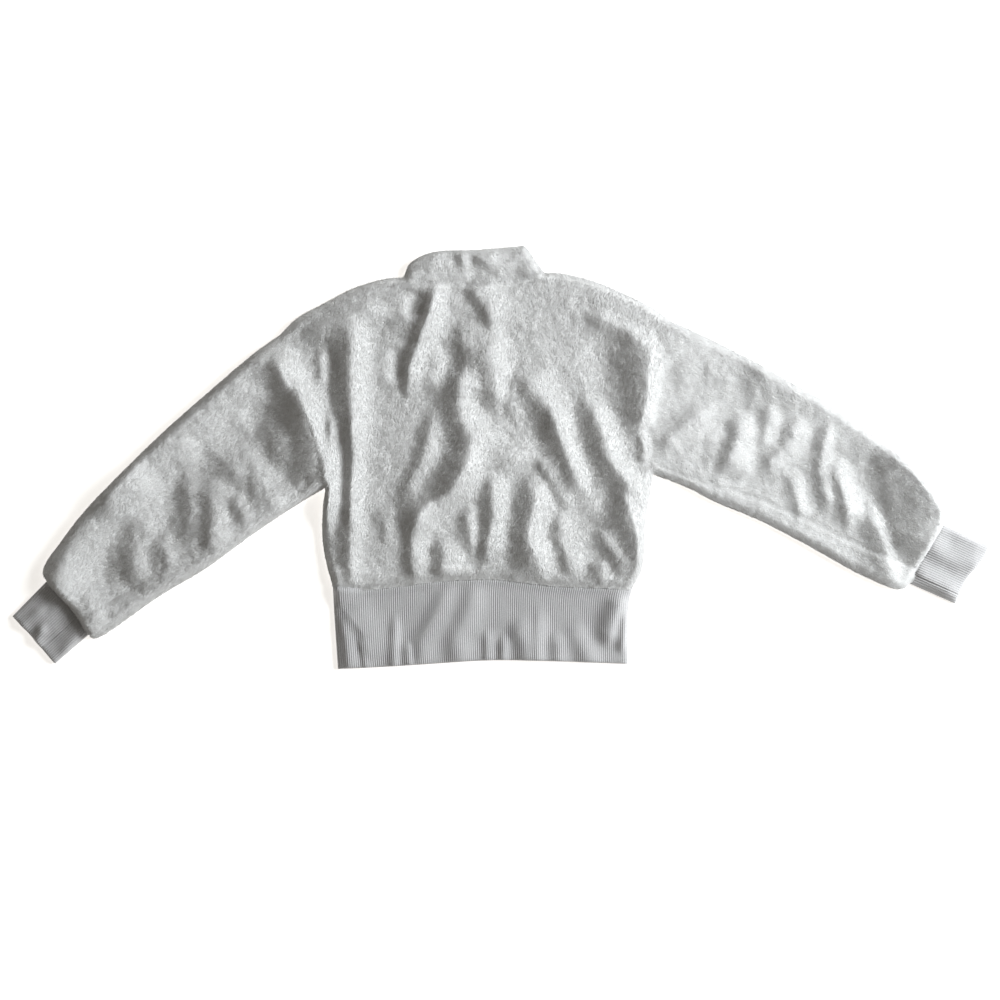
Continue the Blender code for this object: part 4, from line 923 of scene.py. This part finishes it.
def make_sleeve(name, armhole, top_line, under_line, cuff_line, cloth, pile, seed):
    stations = rolled_places(SLEEVE_LENGTH, UNDER_ROLL, GRID_SPACING, roll_cells=3)
    upper = rolled_places(SLEEVE_WIDTH, EDGE_ROLL, GRID_SPACING)
    under = rolled_places(SLEEVE_WIDTH, UNDER_ROLL, UNDER_SPACING, roll_cells=4)
    sides = (whole(armhole[::-1]), whole(cuff_line), whole(top_line), whole(under_line))
    over, below = patch(*sides, upper, stations), patch(*sides, under[::-1], stations)
    over, below = with_height(over, fleece_top(over)), with_height(below, fleece_under(below))
    over[:, [0, -1], 2] = FLEECE_MIDDLE
    below[:, [0, -1], 2] = FLEECE_MIDDLE
    surface = np.concatenate([over[:, :-1], below[:, :-1]], axis=1)
    normals = facing_up(grid_normals(surface, closed=True), len(upper) // 2)
    depth = depth_for(normals)
    outer = surface - normals * depth[..., None]
    fold = len(upper) - 1
    top, low = (slice(None), slice(1, fold), 2), (slice(None), slice(fold + 1, None), 2)
    outer[top] = np.maximum(outer[top], FLEECE_REST + CLOTH_WALL)
    outer[low] = np.minimum(outer[low], FLEECE_WALL - CLOTH_WALL)
    outer[:, [0, fold], 2] = FLEECE_MIDDLE
    inner = outer.copy()
    inner[top] = np.maximum(outer[top] - CLOTH_WALL, FLEECE_REST)
    inner[low] = np.minimum(outer[low] + CLOTH_WALL, FLEECE_WALL)
    centre = (inner[:, :1, :2] + inner[:, fold:fold + 1, :2]) / 2
    inner[..., :2] = centre + (inner[..., :2] - centre) * TUBE_INSET
    places = np.concatenate([upper[:-1], 2 - under[::-1][:-1], [2]])
    piece = tube_object(name + "_cloth", outer, places, inner, places, cloth)
    deepen_shading(piece)
    base, facing, depth = [np.concatenate([grid, grid[:, :1]], axis=1) for grid in (outer, normals, depth)]
    nap = unit(np.gradient(base, axis=0))
    weight = np.where(facing[:-1, :-1, 2] < THINNED_SLOPE, PRESSED_SHARE, 1.0)
    pile_piece = grow_pile(name + "_pile", base, facing, depth, nap, int(pile_count(base) * SLEEVE_SHARE),
                           seed, pile, weight)
    dress_cloth(piece, name, [pile_piece])


def make_collar(cloth, pile, seed):
    rows = rolled_places(COLLAR_HEIGHT, COLLAR_ROLL, GRID_SPACING, roll_cells=5)
    back_places = rolled_places(COLLAR_BACK, EDGE_ROLL, GRID_SPACING)
    front_places = rolled_places(COLLAR_FRONT, UNDER_ROLL, UNDER_SPACING, roll_cells=4)

    def front_plan(side, stop, fold, across):
        neck, top = (part_of(curve, *CHANNEL_REACH[side]) for curve in (FRONT_NECK, COLLAR_FRONT_TOP))
        ends = [whole(fold), whole(np.array([neck[stop], top[stop]]))]
        if side == "right":
            ends = ends[::-1]
        return patch(whole(neck), whole(top), *ends, across, rows)[:, ::-1]

    left = front_plan("left", -1, COLLAR_LEFT, front_places)
    back = patch(whole(BACK_NECK), whole(COLLAR_TOP), whole(COLLAR_LEFT), whole(COLLAR_RIGHT),
                 back_places, rows)
    right = front_plan("right", 0, COLLAR_RIGHT, 1 - front_places[::-1])
    sag = COLLAR_SAG * rows[:, None] ** 2 * np.sin(math.pi * back_places)[None]
    back_height = fleece_top(back) - sag
    back_height[:, [0, -1]] = FLEECE_MIDDLE
    left, right = [with_height(plan, np.minimum(fleece_under(plan), FLEECE_WALL - RIM))
                   for plan in (left, right)]
    surface = np.concatenate([left[:, :-1], with_height(back, back_height), right[:, 1:]], axis=1)
    normals = facing_up(grid_normals(surface), surface.shape[1] // 2)
    depth = depth_for(normals)
    outer = surface - normals * depth[..., None]
    first, last = len(front_places) - 1, len(front_places) + len(back_places) - 2
    raised = (slice(None), slice(first + 1, last), 2)
    fronts = [(slice(None), slice(0, first), 2), (slice(None), slice(last + 1, None), 2)]
    low_edge = (FLEECE_REST - sag)[:, 1:-1]
    outer[raised] = np.maximum(outer[raised], low_edge + CLOTH_WALL)
    for front in fronts:
        outer[front] = np.minimum(outer[front], FLEECE_WALL - CLOTH_WALL)
    inner = outer.copy()
    inner[raised] = np.maximum(outer[raised] - 2 * CLOTH_WALL, low_edge)
    for front in fronts:
        inner[front] = FLEECE_WALL
    inner[:, [first, last], 2] = FLEECE_MIDDLE
    inner[:, first, 0] += COLLAR_INSET
    inner[:, last, 0] -= COLLAR_INSET
    places = (np.linspace(0, 1, surface.shape[1]), rows)
    piece = wall_object("collar_cloth", outer, places, inner, places, cloth)
    deepen_shading(piece)
    nap = np.broadcast_to(COLLAR_NAP, outer.shape)
    pile_piece = grow_pile("collar_pile", outer, normals, depth, nap, pile_count(outer), seed, pile)
    dress_cloth(piece, "collar", [pile_piece])


# Ribs

def rib_places(count, points=POINTS_PER_RIB):
    return np.linspace(0, 1, points * count + 1)


def rib_wave(places, count):
    """Height of the ribs at each place: round crests with narrow grooves between."""
    wave = np.abs(np.sin(math.pi * count * places))
    return RIB_DEPTH * (wave ** RIB_SHARPNESS - RIB_MEAN)


def rows_to_fold(turn, flat_rows):
    """Rows from the seam to the folded edge, and the thickness at each."""
    places, thickness = turn
    rows = np.concatenate([np.linspace(0, places[0], flat_rows), places[1:]])
    return rows, np.interp(rows, places, thickness)


def rib_plan(sides, across, rows):
    plan = patch(*sides, across, rows)
    tuck_in(plan, RIB_TUCK)
    return plan


def rib_over(plan, places, count, level, lowest, edges, end_round, groove=0.0):
    """The side that shows: ribs over the folds, rounded down at the edges and the folded end."""
    level = soft_floor(level, lowest, RIB_BLEND) + rib_wave(places, count)[None] - groove
    roll = quarter_round(distance_to(edges, plan), RIB_EDGE_ROLL)
    return with_height(plan, RIB_MIDDLE + (level - RIB_MIDDLE) * roll * end_round[:, None])


def rib_under(plan, places, count, edges, end_round):
    """The side that rests: shallow grooves, rounded up at its edges."""
    grooves = np.maximum(RIB_DEPTH * GROOVE_LEVEL - rib_wave(places, count), 0)[None] * GROOVE_SHARE
    roll = quarter_round(distance_to(edges, plan), RIB_WALL)
    return with_height(plan, RIB_WALL - (RIB_WALL - grooves) * roll * end_round[:, None])


def make_hem(rib):
    sides = (whole(HEM_SEAM), whole(HEM_END), whole(HEM_LEFT), whole(HEM_RIGHT))
    edges = seam_lines(HEM_LEFT, HEM_RIGHT)
    rows, end_round = rows_to_fold(HEM_TURN, HEM_ROWS)
    channel = ZIP_X + np.array([-CHANNEL_HALF - CHANNEL_CLEARANCE, CHANNEL_HALF + CHANNEL_CLEARANCE])
    span = np.array([HEM_SEAM[0][0], HEM_SEAM[-1][0]])
    left_stop, right_stop = (channel - span[0]) / (span[1] - span[0])

    def over(across, wall):
        plan = rib_plan(sides, across, rows)
        if wall:
            over_zip = np.exp(-((plan[..., 0] - ZIP_X) / ZIP_BULGE_WIDTH) ** 2)
            return with_height(plan, RIB_WALL + LAYER_GAP + ZIP_BULGE * over_zip)
        waves = HEM_WAVE * ripple(plan, HEM_WAVE_SIZE, HEM_WAVE_SEED)
        waves = waves + SEAM_RISE * np.exp(-(distance_to(SEAMS[:1], plan) / SEAM_RISE_WIDTH) ** 2)
        level = HEM_TOP + RIB_FOLD_RISE * fold_lift(HEM_FOLDS, plan) + waves
        return rib_over(plan, across, HEM_RIBS, level, HEM_LOW, edges, end_round)

    def under(across, wall):
        plan = rib_plan(sides, across, rows)
        return with_height(plan, RIB_WALL) if wall else rib_under(plan, across, HEM_RIBS, edges, end_round)

    def band(upper, left_front, right_front, wall):
        first, across, last = under(left_front, wall), over(upper, wall), under(right_front, wall)
        first[:, 0, 0], last[:, -1, 0] = channel
        across[:, [0, -1], 2] = RIB_MIDDLE
        return np.concatenate([first, across, last], axis=1)

    def band_places(left_front, upper, right_front):
        return np.concatenate([np.linspace(0, 0.999, left_front), 1 + upper,
                               2 + np.linspace(0.001, 1, right_front)]) / 3

    upper = rib_places(HEM_RIBS)
    all_under = rib_places(HEM_RIBS, UNDER_POINTS_PER_RIB)[1:-1]
    left_front = np.concatenate([[left_stop], all_under[all_under < left_stop][::-1]])
    right_front = np.concatenate([all_under[all_under > right_stop][::-1], [right_stop]])
    outer = band(upper, left_front, right_front, False)
    inside = np.linspace(0, 1, HEM_INSIDE_BACK)
    front = np.linspace(0, 1, HEM_INSIDE_FRONT)
    inner = band(HEM_INSIDE + (1 - 2 * HEM_INSIDE) * inside,
                 left_stop + (HEM_INSIDE + HEM_LIP - left_stop) * front,
                 right_stop + (1 - HEM_INSIDE - HEM_LIP - right_stop) * front[::-1], True)
    outer_places = band_places(len(left_front), upper, len(right_front))
    inner_places = band_places(HEM_INSIDE_FRONT, inside, HEM_INSIDE_FRONT)
    piece = wall_object("hem_rib_cloth", outer, (outer_places, rows), inner, (inner_places, rows), rib)
    dress_cloth(piece, "hem_rib")


def make_cuff(name, seam, end, folds, join, rib, seed):
    edges = [np.array([seam[0], end[0]], float), np.array([seam[-1], end[-1]], float)]
    sides = [whole(curve) for curve in (seam, end, *edges)]
    rows, end_round = rows_to_fold(CUFF_TURN, CUFF_ROWS)

    def ring(upper, lower, wall):
        over, below = rib_plan(sides, upper, rows), rib_plan(sides, lower[::-1], rows)
        if wall:
            over, below = with_height(over, RIB_WALL + LAYER_GAP), with_height(below, RIB_WALL)
        else:
            waves = CUFF_WAVE * ripple(over, CUFF_WAVE_SIZE, seed)
            level = CUFF_TOP + RIB_FOLD_RISE * fold_lift(folds, over) + waves
            seam_gap = distance_to(seam_lines(join), over) / CUFF_SEAM_WIDTH
            over = rib_over(over, upper, CUFF_RIBS, level, CUFF_LOW, edges, end_round,
                            CUFF_SEAM_DEPTH * np.exp(-seam_gap ** 2))
            below = rib_under(below, lower[::-1], CUFF_RIBS, edges, end_round)
        over[:, [0, -1], 2] = RIB_MIDDLE
        below[:, [0, -1], 2] = RIB_MIDDLE
        return np.concatenate([over[:, :-1], below[:, :-1]], axis=1)

    upper, lower = rib_places(CUFF_RIBS), rib_places(CUFF_RIBS, UNDER_POINTS_PER_RIB)
    outer = ring(upper, lower, False)
    places = np.concatenate([upper[:-1], 2 - lower[::-1][:-1], [2]])
    inside = np.linspace(CUFF_INSIDE, 1 - CUFF_INSIDE, CUFF_INSIDE_POINTS)
    half = np.linspace(0, 1, CUFF_INSIDE_POINTS)
    piece = tube_object(name + "_cloth", outer, places, ring(inside, inside, True),
                        np.concatenate([half[:-1], 1 + half]), rib)
    dress_cloth(piece, name)


# Zip

def tooth_points(side):
    """One tooth, its corners cut, with a wider head on the side that meets the other row."""
    low, high = TEETH_LEVELS
    cut = TOOTH_CORNER
    profile = [(TEETH_OUTER - cut, low), (TEETH_OUTER, low + cut), (TEETH_OUTER, high - cut),
               (TEETH_OUTER - cut, high), (TOOTH_HEAD, high), (TEETH_INNER, high - cut),
               (TEETH_INNER, low + cut), (TOOTH_HEAD, low)]
    wide = [TOOTH_THICKNESS * TOOTH_HALVES[x <= TOOTH_HEAD] for x, z in profile]
    rings = [[(side * x, turn * half, z) for (x, z), half in zip(profile, wide)] for turn in (-1, 1)]
    return np.array(rings, float).reshape(-1, 3)


def prism_triangles(count):
    """Triangles of a prism between two rings of points."""
    caps = [(0, k, k + 1) for k in range(1, count - 1)]
    caps += [(count, count + k + 1, count + k) for k in range(1, count - 1)]
    walls = []
    for k in range(count):
        after = (k + 1) % count
        walls += [(k, count + k, count + after), (k, count + after, after)]
    return np.array(caps + walls)


def repeat_along(name, shape, triangles, places, material, smooth=False):
    points = (shape[None] + places[:, None]).reshape(-1, 3)
    start = np.arange(len(places))[:, None, None] * len(shape)
    faces = (start + triangles[None]).reshape(-1, 3)
    return close_and_turn_out(mesh_object(name, points, faces, material, smooth))


def make_zip_teeth(metal):
    """Two rows of teeth, half a pitch apart."""
    for name, side, shift in (("left", -1, 0.0), ("right", 1, 0.5)):
        first = ZIP_START_Y + TOOTH_THICKNESS + shift * TOOTH_PITCH
        heights = np.arange(first, TEETH_END_Y - TOOTH_THICKNESS, TOOTH_PITCH)
        places = np.stack([np.full(len(heights), ZIP_X), heights, np.zeros(len(heights))], axis=1)
        row = repeat_along("zip_teeth_row_" + name, tooth_points(side), prism_triangles(8), places, metal)
        dress(row, "zip_teeth_" + name)


def make_zip_stitches(thread):
    """A row of stitches down each tape, on the side that rests."""
    across, along, deep = STITCH_SIZE
    shape = np.array([(0, -along / 2, 0), (across / 2, 0, 0), (0, along / 2, 0), (-across / 2, 0, 0),
                      (0, 0, -deep / 2), (0, 0, deep / 2)])
    faces = np.array([(k, (k + 1) % 4, top) for k in range(4) for top in (4, 5)])
    heights = np.arange(ZIP_START_Y + 3, TEETH_END_Y, STITCH_PITCH)
    for name, side in (("left", -1), ("right", 1)):
        places = np.stack([np.full(len(heights), ZIP_X + side * STITCH_ROW), heights,
                           np.full(len(heights), TAPE_BOTTOM)], axis=1)
        row = repeat_along("zip_stitches_" + name, shape, faces, places, thread, True)
        dress(row, None)


# Setting

def make_floor():
    bpy.ops.mesh.primitive_plane_add(size=FLOOR_SIZE, location=(0, 0, FLOOR_LEVEL))
    floor = bpy.context.object
    floor.name = "floor"
    floor.data.materials.append(new_material("floor", FLOOR_COLOUR, FLOOR_ROUGHNESS, FLOOR_GLOW)[0])


def make_light():
    """A soft window from the right, aimed at the middle of the jacket."""
    data = bpy.data.lights.new("key", "AREA")
    data.shape = "SQUARE"
    data.size = KEY_SIZE
    data.energy = KEY_POWER
    data.color = KEY_COLOUR
    light = bpy.data.objects.new("key", data)
    bpy.context.collection.objects.link(light)
    light.location = KEY_PLACE
    light.rotation_euler = (-Vector(KEY_PLACE)).to_track_quat("-Z", "Y").to_euler()


def make_camera():
    """Straight above the jacket, a little below its middle, with the photo's frame."""
    data = bpy.data.cameras.new("camera")
    data.sensor_width = SENSOR
    data.lens = SENSOR * (CAMERA_PLACE[2] - OUTLINE_LEVEL) / PHOTO_WIDTH
    camera = bpy.data.objects.new("camera", data)
    bpy.context.collection.objects.link(camera)
    camera.location = CAMERA_PLACE
    bpy.context.scene.camera = camera


def make_world():
    world = bpy.data.worlds.new("studio")
    world.use_nodes = True
    fill_inputs(world.node_tree.nodes["Background"], SKY)
    bpy.context.scene.world = world


def main():
    bpy.context.scene.view_settings.view_transform = "Standard"
    cloth, pile, rib, tape, metal, thread = [make_material(finish) for finish in FINISHES]
    make_back(cloth, pile)
    make_front("front_left", True, cloth, pile, seed=32)
    make_front("front_right", False, cloth, pile, seed=31)
    make_sleeve("sleeve_left", ARMHOLE_LEFT, SLEEVE_LEFT_TOP, SLEEVE_LEFT_UNDER, CUFF_SEAM_LEFT,
                cloth, pile, seed=21)
    make_sleeve("sleeve_right", ARMHOLE_RIGHT, SLEEVE_RIGHT_TOP, SLEEVE_RIGHT_UNDER, CUFF_SEAM_RIGHT,
                cloth, pile, seed=22)
    make_collar(cloth, pile, seed=51)
    make_hem(rib)
    make_cuff("cuff_left", CUFF_SEAM_LEFT, CUFF_END_LEFT, LEFT_CUFF_FOLDS, CUFF_JOIN_LEFT, rib,
              seed=61)
    make_cuff("cuff_right", CUFF_SEAM_RIGHT, CUFF_END_RIGHT, RIGHT_CUFF_FOLDS, CUFF_JOIN_RIGHT, rib,
              seed=62)
    make_zip_teeth(metal)
    make_zip_stitches(thread)
    for node, material in (("zip_tape_left", tape), ("zip_tape_right", tape), ("slider", metal),
                           ("pull_tab", metal)):
        piece = bpy.data.objects[node]
        piece.data.materials.clear()
        piece.data.materials.append(material)
    make_floor()
    make_camera()
    make_world()
    make_light()


main()
